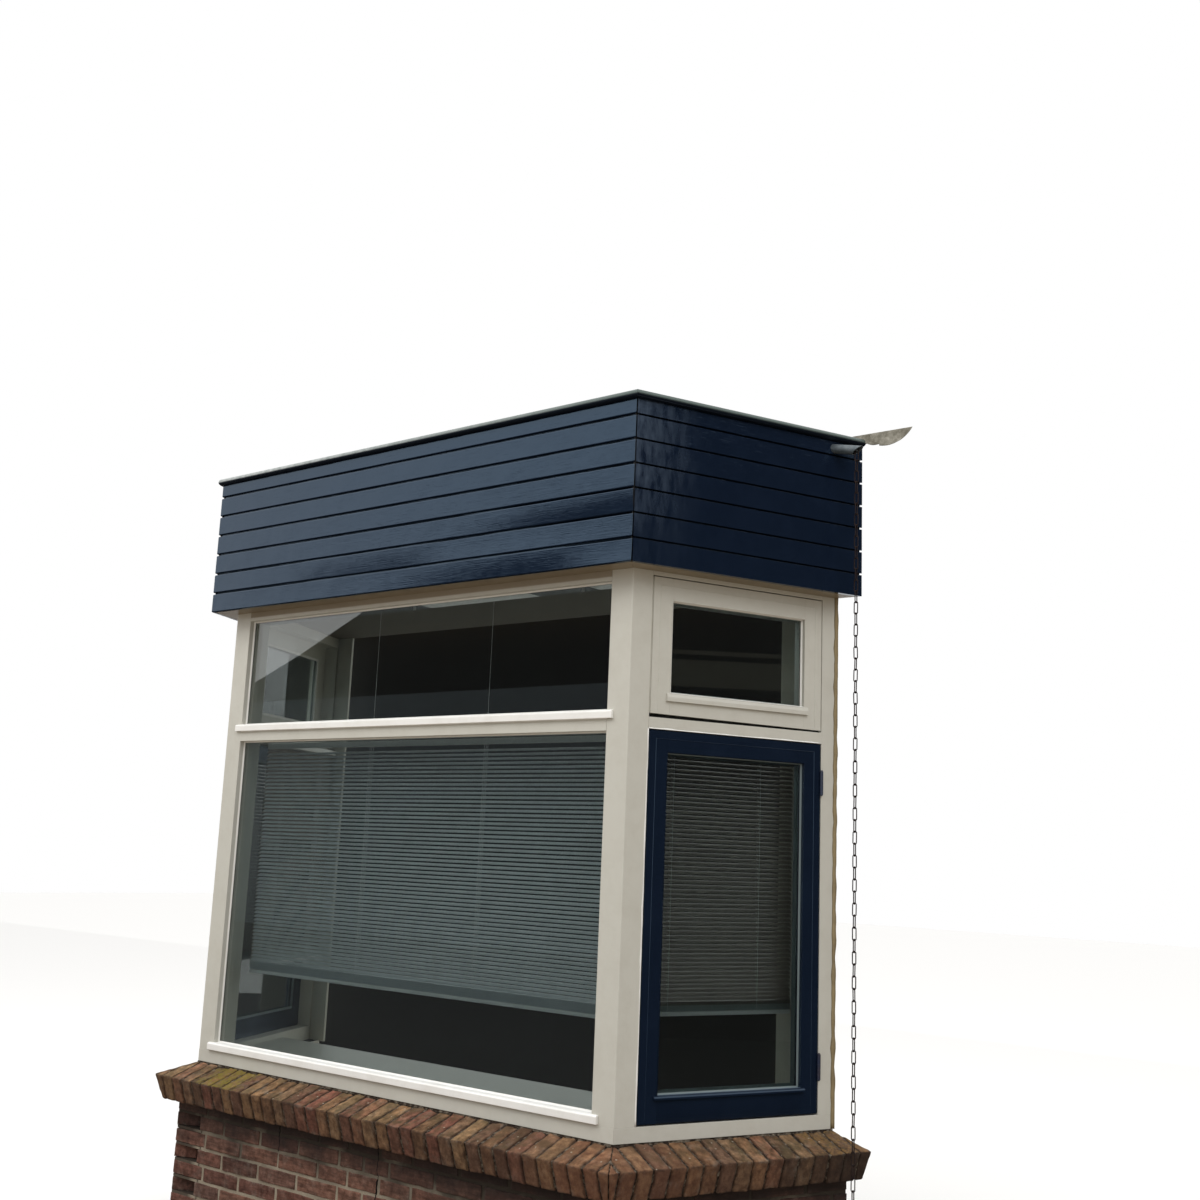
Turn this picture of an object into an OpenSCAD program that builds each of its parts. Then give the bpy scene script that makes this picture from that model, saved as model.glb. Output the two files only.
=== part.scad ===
// Canted bay window: brick base, rowlock sill, timber frame, boarded flat roof.
// Millimetres. X runs along the house wall, Y into the house, Z up.
// The origin is on the ground, in the middle of the width and of the depth.
// Offsets called "o" are measured outwards from the outer face of the timber frame.

/* [Bay plan] */
// Width of the front frame between its two outer corners
front_w = 2110; // [1700:10:2600]
// Depth from the front frame's outer face to the house wall
bay_d = 780; // [700:10:900]
// Angle between a side of the bay and the house wall
cant = 66.3; // [62:0.1:72]

/* [Brick base] */
// Height of the frame's underside above the ground
frame_z = 720; // [500:10:900]
// Distance from the frame's outer face to the brickwork's outer face
base_o = 52; // [40:1:70]
// Thickness of the base wall, one brick
base_t = 210; // [200:1:220]
// Thickness of the plaster inside the base wall
plaster_t = 12; // [8:1:20]

/* [Brick sill] */
// Reach of the sill in front of the frame's outer face
sill_o = 140; // [110:1:150]
// Slope of the sill bricks
sill_slope = 19; // [12:1:22]
// Thickness of the sill, one brick on edge
sill_t = 100; // [90:1:110]
// Length of a sill brick along the slope
sill_brick = 210; // [200:1:220]

/* [Timber frame] */
// Depth of the frame members from outside to inside
frame_t = 114; // [114:1:130]
// Height of the bottom rail
bottom_rail_h = 48; // [40:1:70]
// Height of the transom's underside above the frame's underside, front
front_transom_z = 1288; // [1200:1:1350]
// Height of the front transom
front_transom_h = 38; // [36:1:60]
// Height of the transom's underside above the frame's underside, sides
side_transom_z = 1300; // [1200:1:1350]
// Height of the side transoms
side_transom_h = 39; // [36:1:60]
// Height of the front head
front_head_h = 66; // [50:1:100]
// Height of the side heads
side_head_h = 44; // [40:1:80]
// Height of the top of the frame
frame_h = 1862; // [1855:1:1900]
// Width of a corner post's face on the front
post_front_w = 90; // [80:1:110]
// Width of a corner post's face on the side
post_side_w = 79; // [70:1:90]
// Width of a wall post's face
wall_post_w = 62; // [56:1:80]
// Width of the cover board between a wall post and the opening to the room
cover_w = 100; // [60:5:120]
// Thickness of the cover boards
cover_t = 12; // [9:1:16]

/* [Glass] */
// Thickness of a double glazed pane
pane_t = 20; // [16:1:24]
// Depth of the fixed panes' outer face behind the frame's face
pane_set = 25; // [20:1:30]
// Depth of the grooves that hold the panes
groove_d = 12; // [10:1:14]
// Clearance round a pane and in every joint that is bedded
fit_gap = 0.3; // [0.2:0.05:0.5]

/* [Glazing beads] */
// Height of the bead at the foot of a front pane
bead_h = 32; // [24:1:40]
// Distance that the bead stands out from the frame's face
bead_out = 11; // [8:1:14]
// Distance that the bead laps over a corner post
bead_lap = 27; // [15:1:35]

/* [Casements and top sashes] */
// Thickness of a casement or a top sash
leaf_t = 54; // [50:1:60]
// Gap between a leaf and its frame
leaf_gap = 4; // [2:0.5:5]
// Gap under a leaf
leaf_foot_gap = 6; // [4:0.5:8]
// Depth of a leaf pane's outer face behind the leaf's face
leaf_pane_set = 18; // [14:1:20]
// Width of a casement's stiles and top rail
casement_stile = 70; // [60:1:80]
// Height of a casement's bottom rail
casement_foot = 84; // [70:1:100]
// Width of a top sash's stiles and top rail
sash_stile = 74; // [60:1:80]
// Height of a top sash's bottom rail
sash_foot = 78; // [70:1:90]
// Height of the drip bead on a casement
casement_bead_h = 12; // [8:1:20]
// Height of the drip bead on a top sash
sash_bead_h = 27; // [16:1:34]
// Distance that a drip bead stands out from its leaf
drip_out = 9; // [6:1:12]
// Distance that a drip bead laps over the stiles
drip_lap = 14; // [8:1:20]
// Height of a hinge
hinge_h = 82; // [60:1:100]
// Radius of a hinge's knuckle
hinge_r = 6; // [5:0.5:9]
// Width of a hinge's plates
hinge_plate_w = 26; // [20:1:32]
// Height of the caps on a hinge's pin
hinge_cap_h = 4; // [2:1:6]
// Height of the lower hinge's foot above the frame's underside
hinge_low = 163; // [120:1:220]
// Distance of the upper hinge's top below the side transom
hinge_high = 98; // [60:1:200]

/* [Roof] */
// Distance from the frame's face to the outside of the boarded fascia
fascia_o = 93; // [80:1:100]
// Thickness of the fascia boards
fascia_t = 18; // [16:1:22]
// Distance of the fascia's lower edge below the top of the frame
fascia_drop = 30; // [20:1:40]
// Height of the fascia
fascia_h = 562; // [450:1:700]
// Height of one fascia board with its groove
board_h = 84.5; // [70:0.5:100]
// Height of the lowest board
first_board_h = 77; // [60:1:90]
// Height of the grooves between the boards
board_groove_h = 7; // [5:0.5:10]
// Depth of the grooves between the boards
board_groove_d = 9; // [6:0.5:12]
// Thickness of the soffit boards
soffit_t = 12; // [9:1:16]
// Height of the roof's kerb above the deck
kerb_h = 50; // [46:1:60]
// Width of the roof's kerb
kerb_w = 40; // [30:1:50]
// Thickness of the roof deck
deck_t = 18; // [15:1:24]
// Thickness of the roofing membrane
membrane_t = 4; // [3:0.5:6]
// Height of the roof edge trim above the fascia
trim_h = 24; // [18:1:36]
// Distance that the roof edge trim stands out from the fascia
trim_out = 17; // [12:1:25]
// Distance that the trim's nose laps down over the fascia
trim_lap = 6; // [4:1:10]
// Thickness of the trim's aluminium
trim_t = 2.5; // [2:0.5:3]

/* [Roof framing] */
// Width of the plates on top of the frame
plate_w = 50; // [40:1:60]
// Height of the plates
plate_h = 40; // [30:1:50]
// Width of the joists and studs
joist_w = 50; // [40:1:60]
// Height of the roof joists
joist_h = 120; // [100:1:160]
// Thickness of the back board against the house wall
back_t = 18; // [12:1:22]
// Thickness of the brackets that carry the fascia
bracket_t = 18; // [12:1:22]
// Distance of the first side stud from the corner
stud_low_s = 213; // [180:1:300]
// Distance of the second side stud from the house wall
stud_wall_s = 239; // [180:1:300]

/* [Lead flashing] */
// Height of the lead's top edge above the fascia
lead_up = 41; // [38:1:60]
// Depth of the lead's apron on the roof
lead_apron = 76; // [60:1:80]
// Thickness of the lead
lead_t = 3; // [2:0.5:4]
// Length of each end flap past the frame
lead_flap = 300; // [240:5:360]
// Depth of a flap's outer lobe
outer_lobe_d = 56; // [50:1:70]
// Length of the outer lobe
outer_lobe_l = 128; // [110:1:140]
// Distance from the outer lobe's lowest point to the flap's tip
outer_lobe_run = 98; // [80:1:105]
// Depth of a flap's inner lobe
inner_lobe_d = 47; // [44:1:49]
// Distance from the inner lobe's lowest point to the outer lobe
inner_lobe_run = 15; // [10:1:20]
// Radius of the inner lobe's edge
inner_lobe_r = 65; // [60:1:90]

/* [Spout and rain chain] */
// Outer radius of the rain spout
spout_r = 17; // [14:1:20]
// Wall of the rain spout
spout_wall = 1.5; // [1:0.5:2.5]
// Length of the spout outside the fascia
spout_len = 115; // [90:1:140]
// Slope of the spout
spout_slope = 12; // [5:1:15]
// Distance of the spout in front of the house wall
spout_y = 116; // [90:1:150]
// Distance of the spout's middle below the top of the fascia
spout_drop = 34; // [33:1:40]
// Width of a chain link outside
link_w = 17; // [14:0.5:20]
// Length of a chain link outside
link_l = 48; // [38:0.5:55]
// Radius of the chain's wire
link_r = 2; // [1.5:0.25:2.5]

/* [Blinds] */
// Distance between two slats
slat_pitch = 15.5; // [12:0.5:26]
// Width of a slat
slat_w = 18; // [15:1:30]
// Tilt of the slats
slat_tilt = 35; // [15:1:50]
// Thickness of a slat
slat_t = 0.8; // [0.6:0.1:1.2]
// Height of the front blind's lower edge above the frame's underside
blind_z = 350; // [200:5:600]
// Height of the side blinds' lower edge above the frame's underside
side_blind_z = 364; // [200:5:600]
// Distance of the front blind's cords from its middle
blind_cord_x = 306; // [200:1:500]
// Distance of a side blind's cords from its middle
side_cord_x = 180; // [100:1:200]
// Width of a blind's brackets
blind_bracket_w = 20; // [15:1:30]
// Gap at the ends of a blind
blind_end_gap = 12; // [8:1:30]
// Distance from the frame's inside face to the middle of a blind
blind_in = 30; // [26:1:60]
// Height of a blind's head rail
blind_rail_h = 22; // [18:1:30]
// Height of a blind's bottom rail
blind_foot_h = 14; // [10:1:20]
// Number of slats that lie stacked on the bottom rail
stack_count = 11; // [4:1:16]
// Distance between two stacked slats
stack_pitch = 3; // [2:0.5:4]

/* [Inside] */
// Depth of the window board behind the frame's outer face
window_board_d = 520; // [400:10:600]
// Thickness of the window board
window_board_t = 40; // [25:1:46]

/* [Hidden] */
$fn = 32;

// Place of the bay on the ground plan
wall_y = (bay_d + sill_o) / 2;
front_y = wall_y - bay_d;
half_w = front_w / 2;
side_s = bay_d / sin(cant);

// Levels above the frame's underside
front_head_z = frame_h - front_head_h;
side_head_z = frame_h - side_head_h;
fascia_z = frame_h - fascia_drop;
fascia_top = fascia_z + fascia_h;
trim_top = fascia_top + trim_h;
deck_top = fascia_top - kerb_h;
deck_low = deck_top - deck_t;
ring_o = fascia_o - fascia_t;
kerb_in = ring_o - kerb_w;
lead_top = fascia_top + lead_up;
spout_z = fascia_top - spout_drop;

// Long enough to run out of any piece of the bay
far = 6000;

// Plan position of a point on the front or the side at an offset from the frame's face
function corner(o) = [half_w + o * tan(cant / 2), front_y - o];
function mirrored(p) = [-p[0], p[1]];
function near_wall(o, d) = [half_w + (bay_d - d) / tan(cant) + o / sin(cant), wall_y - d];
function at_wall(o) = near_wall(o, 0);
function on_side(s, o) = [half_w + s * cos(cant) + o * sin(cant),
                          front_y + s * sin(cant) - o * cos(cant)];
function side_end(o) = (bay_d + o * cos(cant)) / sin(cant);

// Plan outlines of a strip between two offsets, with mitred corners
function front_strip(a, b) = [mirrored(corner(a)), corner(a), corner(b), mirrored(corner(b))];
function side_strip(a, b) = [corner(a), at_wall(a), at_wall(b), corner(b)];
// The same strip along the side, shortened by the joint at its mitre
function side_piece(a, b) = [on_side(mitre_s(a) + fit_gap, a), at_wall(a), at_wall(b),
                             on_side(mitre_s(b) + fit_gap, b)];
function mitre_s(o) = -o * tan(cant / 2);
function bay_plan(o) = [mirrored(corner(o)), corner(o), at_wall(o), mirrored(at_wall(o))];

// A plan outline raised between two levels above the frame's underside
module slab(points, low, high) {
    translate([0, 0, frame_z + low]) linear_extrude(high - low) polygon(points);
}
// Children drawn on the right side of the bay and repeated on the left
module both_sides() {
    children();
    mirror([1, 0, 0]) children();
}
// Children drawn with X along the right side, Y inwards and Z above the frame's underside
module side_frame() {
    translate([half_w, front_y, frame_z]) rotate([0, 0, cant]) children();
}
// Children drawn with X along the front, Y inwards and Z above the frame's underside
module front_frame() {
    translate([0, front_y, frame_z]) children();
}
// A section in offset and height, run along the X axis of a face
module run(section, low_x, high_x) {
    translate([low_x, 0, 0]) rotate([90, 0, 90])
        linear_extrude(high_x - low_x) mirror([1, 0, 0]) polygon(section);
}
// A section run along the whole front between its mitres
module front_run(section) {
    intersection() {
        front_frame() run(section, -far / 2, far / 2);
        slab(front_strip(-frame_t - base_t, fascia_o + sill_o), -frame_z - far, far);
    }
}
// A section run along the right side from its mitre to the house wall
module side_run(section) {
    intersection() {
        side_frame() run(section, -far / 2, far / 2);
        slab(side_piece(-frame_t - base_t, fascia_o + sill_o), -frame_z - far, far);
    }
}

// Brick base

sill_rise = tan(sill_slope);
sill_foot_o = sill_o - sill_t * sin(sill_slope);
sill_foot_z = -sill_o * sill_rise - sill_t * cos(sill_slope);
sill_in = sill_o - sill_brick * cos(sill_slope);
function sill_under(o) = sill_foot_z + (sill_foot_o - o) * sill_rise;
function sill_section() = [[sill_o, -sill_o * sill_rise], [0, 0], [sill_in, 0],
    [sill_in, sill_under(sill_in)], [sill_foot_o, sill_foot_z]];
base_in = base_o - base_t;
function base_section() = [[base_o, -frame_z], [base_o, sill_under(base_o)],
    [sill_in, sill_under(sill_in)], [sill_in, 0], [base_in, 0], [base_in, -frame_z]];

module front_base_wall() color("#8a5648") front_run(base_section());
module right_base_wall() color("#8a5648") side_run(base_section());
module left_base_wall() mirror([1, 0, 0]) right_base_wall();
module base_wall_plaster() color("#d9d6cf") {
    slab(front_strip(base_in, base_in - plaster_t), -frame_z, 0);
    both_sides() slab(side_piece(base_in, base_in - plaster_t), -frame_z, 0);
}
module front_brick_sill() color("#8c5a3c") front_run(sill_section());
module right_brick_sill() color("#8c5a3c") side_run(sill_section());
module left_brick_sill() mirror([1, 0, 0]) right_brick_sill();

// Window board on the base wall, cut to the shape of the bay
module window_board() color("#e4e0d8") {
    board_in = -window_board_d;
    intersection() {
        slab(bay_plan(-frame_t), 0, window_board_t);
        slab([[-far, front_y], [far, front_y], [far, front_y + window_board_d],
            [-far, front_y + window_board_d]], 0, window_board_t);
    }
}

// Timber frame

stop_o = -leaf_t - fit_gap;
pane_out = -pane_set;
pane_in = -pane_set - pane_t;
rebate_in = pane_in - fit_gap;
rebate_out = pane_out + fit_gap;

module bottom_rails() color("#c9c4b6") {
    slab(front_strip(0, -frame_t), 0, bottom_rail_h);
    both_sides() {
        slab(side_piece(0, -frame_t), 0, bottom_rail_h);
        side_frame() run([[stop_o, bottom_rail_h], [stop_o, bottom_rail_h + groove_d],
            [-frame_t, bottom_rail_h + groove_d], [-frame_t, bottom_rail_h]],
            post_side_w + groove_d, side_s - wall_post_w - groove_d);
    }
}

// Plan of the right corner post, with its pane groove and its stop for the leaves
module corner_post_plan() {
    difference() {
        polygon([corner(0), [half_w - post_front_w, front_y],
            [half_w - post_front_w, front_y + frame_t], corner(-frame_t),
            on_side(post_side_w + groove_d, -frame_t), on_side(post_side_w + groove_d, stop_o),
            on_side(post_side_w, stop_o), on_side(post_side_w, 0)]);
        translate([half_w - post_front_w - groove_d, front_y - rebate_out])
            square([2 * groove_d, rebate_out - rebate_in]);
    }
}
module right_corner_post() color("#c9c4b6")
    translate([0, 0, frame_z + bottom_rail_h])
        linear_extrude(frame_h - bottom_rail_h) corner_post_plan();
module left_corner_post() mirror([1, 0, 0]) right_corner_post();

wall_post_s = side_s - wall_post_w;
// The post, and behind it the cover board that closes the joint with the wall of the house
module right_wall_post() color("#c9c4b6") {
    slab([on_side(wall_post_s, 0), at_wall(0), at_wall(-frame_t),
        on_side(wall_post_s - groove_d, -frame_t), on_side(wall_post_s - groove_d, stop_o),
        on_side(wall_post_s, stop_o)], bottom_rail_h, frame_h);
    cover_o = -frame_t - fit_gap;
    cover_end = [at_wall(cover_o)[0] - cover_w, wall_y];
    slab([at_wall(cover_o), near_wall(cover_o, cover_t), cover_end - [0, cover_t], cover_end],
        0, frame_h - soffit_t);
}
module left_wall_post() mirror([1, 0, 0]) right_wall_post();

front_clear = half_w - post_front_w;
front_transom_top = front_transom_z + front_transom_h;
module front_transom() color("#c9c4b6")
    front_frame() difference() {
        run([[0, front_transom_z], [0, front_transom_top], [-frame_t, front_transom_top],
            [-frame_t, front_transom_z]], -front_clear, front_clear);
        run([[rebate_out, front_transom_z - 1], [rebate_out, front_transom_z + groove_d],
            [rebate_in, front_transom_z + groove_d], [rebate_in, front_transom_z - 1]],
            -far / 2, far / 2);
    }
module front_head() color("#c9c4b6")
    front_frame() difference() {
        run([[0, front_head_z], [0, frame_h], [-frame_t, frame_h],
            [-frame_t, front_head_z]], -front_clear, front_clear);
        run([[rebate_out, front_head_z - 1], [rebate_out, front_head_z + groove_d],
            [rebate_in, front_head_z + groove_d], [rebate_in, front_head_z - 1]],
            -far / 2, far / 2);
    }

// Ends of the side members, behind the leaves they run on to the posts' stops
stop_low_s = post_side_w + groove_d;
stop_high_s = wall_post_s - groove_d;
side_transom_top = side_transom_z + side_transom_h;
module side_transoms() color("#c9c4b6") both_sides() side_frame() {
    run([[0, side_transom_z], [0, side_transom_top], [stop_o, side_transom_top],
        [stop_o, side_transom_z]], post_side_w, wall_post_s);
    run([[stop_o, side_transom_z - groove_d], [stop_o, side_transom_top + groove_d],
        [-frame_t, side_transom_top + groove_d], [-frame_t, side_transom_z - groove_d]],
        stop_low_s, stop_high_s);
}
module side_heads() color("#c9c4b6") both_sides() side_frame() {
    run([[0, side_head_z], [0, frame_h], [stop_o, frame_h],
        [stop_o, side_head_z]], post_side_w, wall_post_s);
    run([[stop_o, side_head_z - groove_d], [stop_o, frame_h],
        [-frame_t, frame_h], [-frame_t, side_head_z - groove_d]],
        stop_low_s, stop_high_s);
}

// Front panes and the beads at their feet

pane_half = front_clear + groove_d - 2;
module front_pane(low, high) color("#5f6f72")
    translate([-pane_half, front_y + pane_set, frame_z + low])
        cube([2 * pane_half, pane_t, high - low]);
module front_lower_pane()
    front_pane(bottom_rail_h + fit_gap, front_transom_z + groove_d - fit_gap);
module front_upper_pane()
    front_pane(front_transom_top + fit_gap, front_head_z + groove_d - fit_gap);

// Outer bead with a sloped top, a nose that laps over the posts, and an inner bead
module glazing_bead(z) {
    nose = front_clear + bead_lap;
    run([[rebate_out, z], [rebate_out, z + bead_h], [0, z + bead_h], [0, z]],
        -front_clear, front_clear);
    run([[0, z + 3], [0, z + bead_h], [bead_out * 0.7, z + bead_h - 2],
        [bead_out, z + bead_h - 6], [bead_out, z + 3]], -nose, nose);
    run([[rebate_in, z], [rebate_in, z + bead_h], [rebate_in - groove_d, z + bead_h],
        [rebate_in - groove_d, z]], -front_clear, front_clear);
}
module front_glazing_beads() color("#d3cfc2") front_frame() {
    glazing_bead(bottom_rail_h);
    glazing_bead(front_transom_top);
}

// Casements and top sashes

leaf_low_s = post_side_w + leaf_gap;
leaf_high_s = wall_post_s - leaf_gap;
leaf_groove_out = -leaf_pane_set + fit_gap;
leaf_groove_in = -leaf_pane_set - pane_t - fit_gap;

// A drip bead that starts at an offset from the leaf's face
module drip_bead(h, o, low_s, high_s)
    run([[o, 0], [o, h], [drip_out * 0.6, h - 2], [drip_out, h / 2], [drip_out, 0]],
        low_s, high_s);
// A leaf between two levels, drawn on the right side: stiles run through, rails stand between
module leaf(low, high, stile, foot, bead_h) {
    stile_high = leaf_high_s - stile;
    stile_low = leaf_low_s + stile;
    difference() {
        union() {
            for (s = [leaf_low_s, stile_high])
                translate([s, 0, low]) cube([stile, leaf_t, high - low]);
            rail_s = stile_low + fit_gap;
            rail_l = stile_high - stile_low - 2 * fit_gap;
            translate([rail_s, 0, low]) cube([rail_l, leaf_t, foot]);
            translate([rail_s, 0, high - stile]) cube([rail_l, leaf_t, stile]);
            translate([0, 0, low + foot - bead_h]) {
                drip_bead(bead_h, 0, rail_s, rail_s + rail_l);
                drip_bead(bead_h, fit_gap, stile_low - drip_lap, stile_high + drip_lap);
            }
        }
        translate([stile_low - groove_d, -leaf_groove_out, low + foot - groove_d])
            cube([stile_high - stile_low + 2 * groove_d, leaf_groove_out - leaf_groove_in,
                high - low - stile - foot + 2 * groove_d]);
    }
}
// The pane of such a leaf
module leaf_pane(low, high, stile, foot) {
    translate([leaf_low_s + stile - groove_d + 2, leaf_pane_set, low + foot - groove_d + 2])
        cube([leaf_high_s - leaf_low_s - 2 * stile + 2 * groove_d - 4, pane_t,
            high - low - stile - foot + 2 * groove_d - 4]);
}
casement_low = bottom_rail_h + leaf_foot_gap;
casement_high = side_transom_z - leaf_gap;
sash_low = side_transom_top + leaf_foot_gap;
sash_high = side_head_z - leaf_gap;
module right_casement() color("#1c2940")
    side_frame() leaf(casement_low, casement_high, casement_stile, casement_foot, casement_bead_h);
module left_casement() mirror([1, 0, 0]) right_casement();
module right_top_sash() color("#c9c4b6")
    side_frame() leaf(sash_low, sash_high, sash_stile, sash_foot, sash_bead_h);
module left_top_sash() mirror([1, 0, 0]) right_top_sash();
module casement_panes() color("#5f6f72")
    both_sides() side_frame() leaf_pane(casement_low, casement_high, casement_stile, casement_foot);
module top_sash_panes() color("#5f6f72")
    both_sides() side_frame() leaf_pane(sash_low, sash_high, sash_stile, sash_foot);

// Two butt hinges on each casement: knuckles in turn on one pin outside, and the two plates
// folded together in the gap between the leaf and the post
knuckle_count = 5;
knuckle_joint = 0.6;
knuckle_pitch = (hinge_h + knuckle_joint) / knuckle_count;
plate_pair_t = leaf_gap - 2 * fit_gap;
plate_slit = plate_pair_t / 8;
module hinge(z) translate([(leaf_high_s + wall_post_s) / 2, 0, z]) {
    for (k = [0 : knuckle_count - 1])
        translate([0, -hinge_r, k * knuckle_pitch])
            cylinder(r = hinge_r, h = knuckle_pitch - knuckle_joint);
    translate([0, -hinge_r, -hinge_cap_h])
        cylinder(r = hinge_r - 2, h = hinge_h + 2 * hinge_cap_h);
    difference() {
        translate([-plate_pair_t / 2, -hinge_r, 0])
            cube([plate_pair_t, hinge_r + hinge_plate_w, hinge_h]);
        translate([-plate_slit / 2, 0, -1])
            cube([plate_slit, hinge_plate_w + 1, hinge_h + 2]);
    }
}
module casement_hinges() color("#1c2940") both_sides() side_frame() {
    hinge(hinge_low);
    hinge(side_transom_z - hinge_high - hinge_h);
}

// Roof box

module soffit_boards() color("#c9c4b6") {
    slab(front_strip(ring_o, 0), fascia_z, fascia_z + soffit_t);
    both_sides() slab(side_piece(ring_o, 0), fascia_z, fascia_z + soffit_t);
}

// Section of the boarded fascia: rebated boards with a groove at every joint
board_count = ceil((fascia_h - first_board_h) / board_h);
module fascia_section() {
    difference() {
        translate([ring_o, fascia_z]) square([fascia_t, fascia_h]);
        for (k = [0 : board_count - 1])
            translate([fascia_o - board_groove_d, fascia_z + first_board_h + k * board_h])
                square([board_groove_d + 1, board_groove_h]);
    }
}
module fascia_run() {
    translate([-far / 2, 0, 0]) rotate([90, 0, 90])
        linear_extrude(far) mirror([1, 0, 0]) fascia_section();
}
module front_fascia() color("#1c2940") intersection() {
    front_frame() fascia_run();
    slab(front_strip(0, fascia_o + 1), fascia_z, fascia_top);
}
module side_fascia() intersection() {
    side_frame() fascia_run();
    slab(side_strip(0, fascia_o + 1), fascia_z, fascia_top);
}
module left_fascia() color("#1c2940") mirror([1, 0, 0]) side_fascia();
module right_fascia() color("#1c2940") difference() {
    side_fascia();
    spout_hole();
}

// Aluminium roof edge trim: a flange on the kerb and a hollow half-round nose over the fascia
trim_o = fascia_o + trim_out;
trim_r = (trim_h + trim_lap) / 2;
flange_z = fascia_top + membrane_t;
module trim_section() {
    translate([kerb_in, flange_z]) square([fascia_o + trim_t - kerb_in, trim_t]);
    translate([fascia_o, flange_z]) square([trim_t, trim_top - trim_t / 2 - flange_z]);
    difference() {
        translate([trim_o - trim_r, trim_top - trim_r]) circle(r = trim_r);
        translate([trim_o - trim_r, trim_top - trim_r]) circle(r = trim_r - trim_t);
        translate([fascia_o + fit_gap - trim_r, 0]) square([trim_r, far]);
    }
}
module trim_run() {
    translate([-far / 2, 0, 0]) rotate([90, 0, 90])
        linear_extrude(far) mirror([1, 0, 0]) trim_section();
}
module roof_edge_trim() color("#8f9499") {
    intersection() {
        front_frame() trim_run();
        slab(front_strip(-frame_t, trim_o + 1), fascia_z, far);
    }
    both_sides() intersection() {
        side_frame() trim_run();
        slab(side_piece(-frame_t, trim_o + 1), fascia_z, far);
        translate([-far / 2, wall_y - lead_t - fit_gap - far, 0]) cube(far);
    }
}

// Timber framing inside the roof box: plates, studs, ceiling joists and roof joists
joist_count = 5;
module roof_framing() color("#b08d57") intersection() {
    union() {
        for (low = [frame_h, deck_low - joist_h - plate_h]) {
            slab(front_strip(0, -plate_w), low, low + plate_h);
            both_sides() slab(side_piece(0, -plate_w), low, low + plate_h);
        }
        step = 2 * (half_w - joist_w) / (joist_count - 1);
        stud_h = deck_low - joist_h - frame_h;
        front_frame() for (k = [0 : joist_count - 1])
            translate([-half_w + joist_w / 2 + k * step, 0, 0]) {
                translate([0, 0, frame_h]) cube([joist_w, plate_w, stud_h]);
                translate([0, 0, frame_h]) cube([joist_w, bay_d, plate_h]);
                translate([0, 0, deck_low - joist_h]) cube([joist_w, bay_d, joist_h]);
            }
        both_sides() side_frame() for (s = [stud_low_s, side_s - stud_wall_s])
            translate([s - joist_w / 2, 0, frame_h])
                cube([joist_w, plate_w, stud_h]);
    }
    translate([-far / 2, wall_y - back_t - far, 0]) cube(far);
}
// Brackets that carry the fascia boards in front of the framing
module bracket() {
    translate([-bracket_t / 2, -ring_o, fascia_z + soffit_t])
        cube([bracket_t, ring_o, deck_low - fascia_z - soffit_t]);
}
module fascia_brackets() color("#b08d57") {
    bracket_count = 4;
    for (k = [0 : bracket_count - 1])
        front_frame() translate([(k - (bracket_count - 1) / 2) * front_w / bracket_count, 0, 0])
            bracket();
    both_sides() side_frame()
        for (s = [stud_low_s, side_s - stud_wall_s]) translate([s, 0, 0]) bracket();
}
// The spout's hole through the fascia, the kerb, the deck's edge and the membrane
module spout_hole() spout_place() translate([0, 0, -2 * spout_tail])
    cylinder(r = spout_r + fit_gap, h = 2 * spout_tail + spout_len);
module roof_deck() color("#b08d57") difference() {
    slab(bay_plan(ring_o), deck_low, deck_top);
    spout_hole();
}
// Kerb round the deck, behind the top of the fascia
module roof_kerb() color("#b08d57") difference() {
    union() {
        slab(front_strip(ring_o, kerb_in), deck_top, fascia_top);
        both_sides() slab(side_piece(ring_o, kerb_in), deck_top, fascia_top);
    }
    spout_hole();
}
// Membrane: flat on the deck, up the kerb and over the top of the fascia
skin_o = kerb_in - membrane_t;
function beyond_wall(o) = [at_wall(o)[0], wall_y + membrane_t];
module roof_membrane() color("#3a3d40") difference() {
    union() {
        slab(bay_plan(kerb_in), deck_top, fascia_top + membrane_t);
        slab(bay_plan(fascia_o), fascia_top, fascia_top + membrane_t);
    }
    slab([mirrored(corner(skin_o)), corner(skin_o), at_wall(skin_o), beyond_wall(skin_o),
        mirrored(beyond_wall(skin_o)), mirrored(at_wall(skin_o))],
        deck_top + membrane_t, fascia_top + 2 * membrane_t);
    spout_hole();
}
module roof_back_board() color("#b08d57") intersection() {
    slab(bay_plan(ring_o), frame_h, deck_low);
    translate([-far / 2, wall_y - back_t, 0]) cube(far);
}
module ceiling_board() color("#e4e0d8")
    slab(bay_plan(-frame_t), frame_h - soffit_t, frame_h);

// Lead flashing: an apron on the membrane, an upstand on the wall, end flaps cut in two lobes
flap_start = at_wall(trim_o)[0] + 1;
flap_end = at_wall(0)[0] + lead_flap;
lobe_meet = flap_end - outer_lobe_l;
outer_lobe_r = (outer_lobe_run * outer_lobe_run + outer_lobe_d * outer_lobe_d)
    / (2 * outer_lobe_d);
lead_low = deck_top + membrane_t;
lead_w = at_wall(skin_o)[0];
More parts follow.
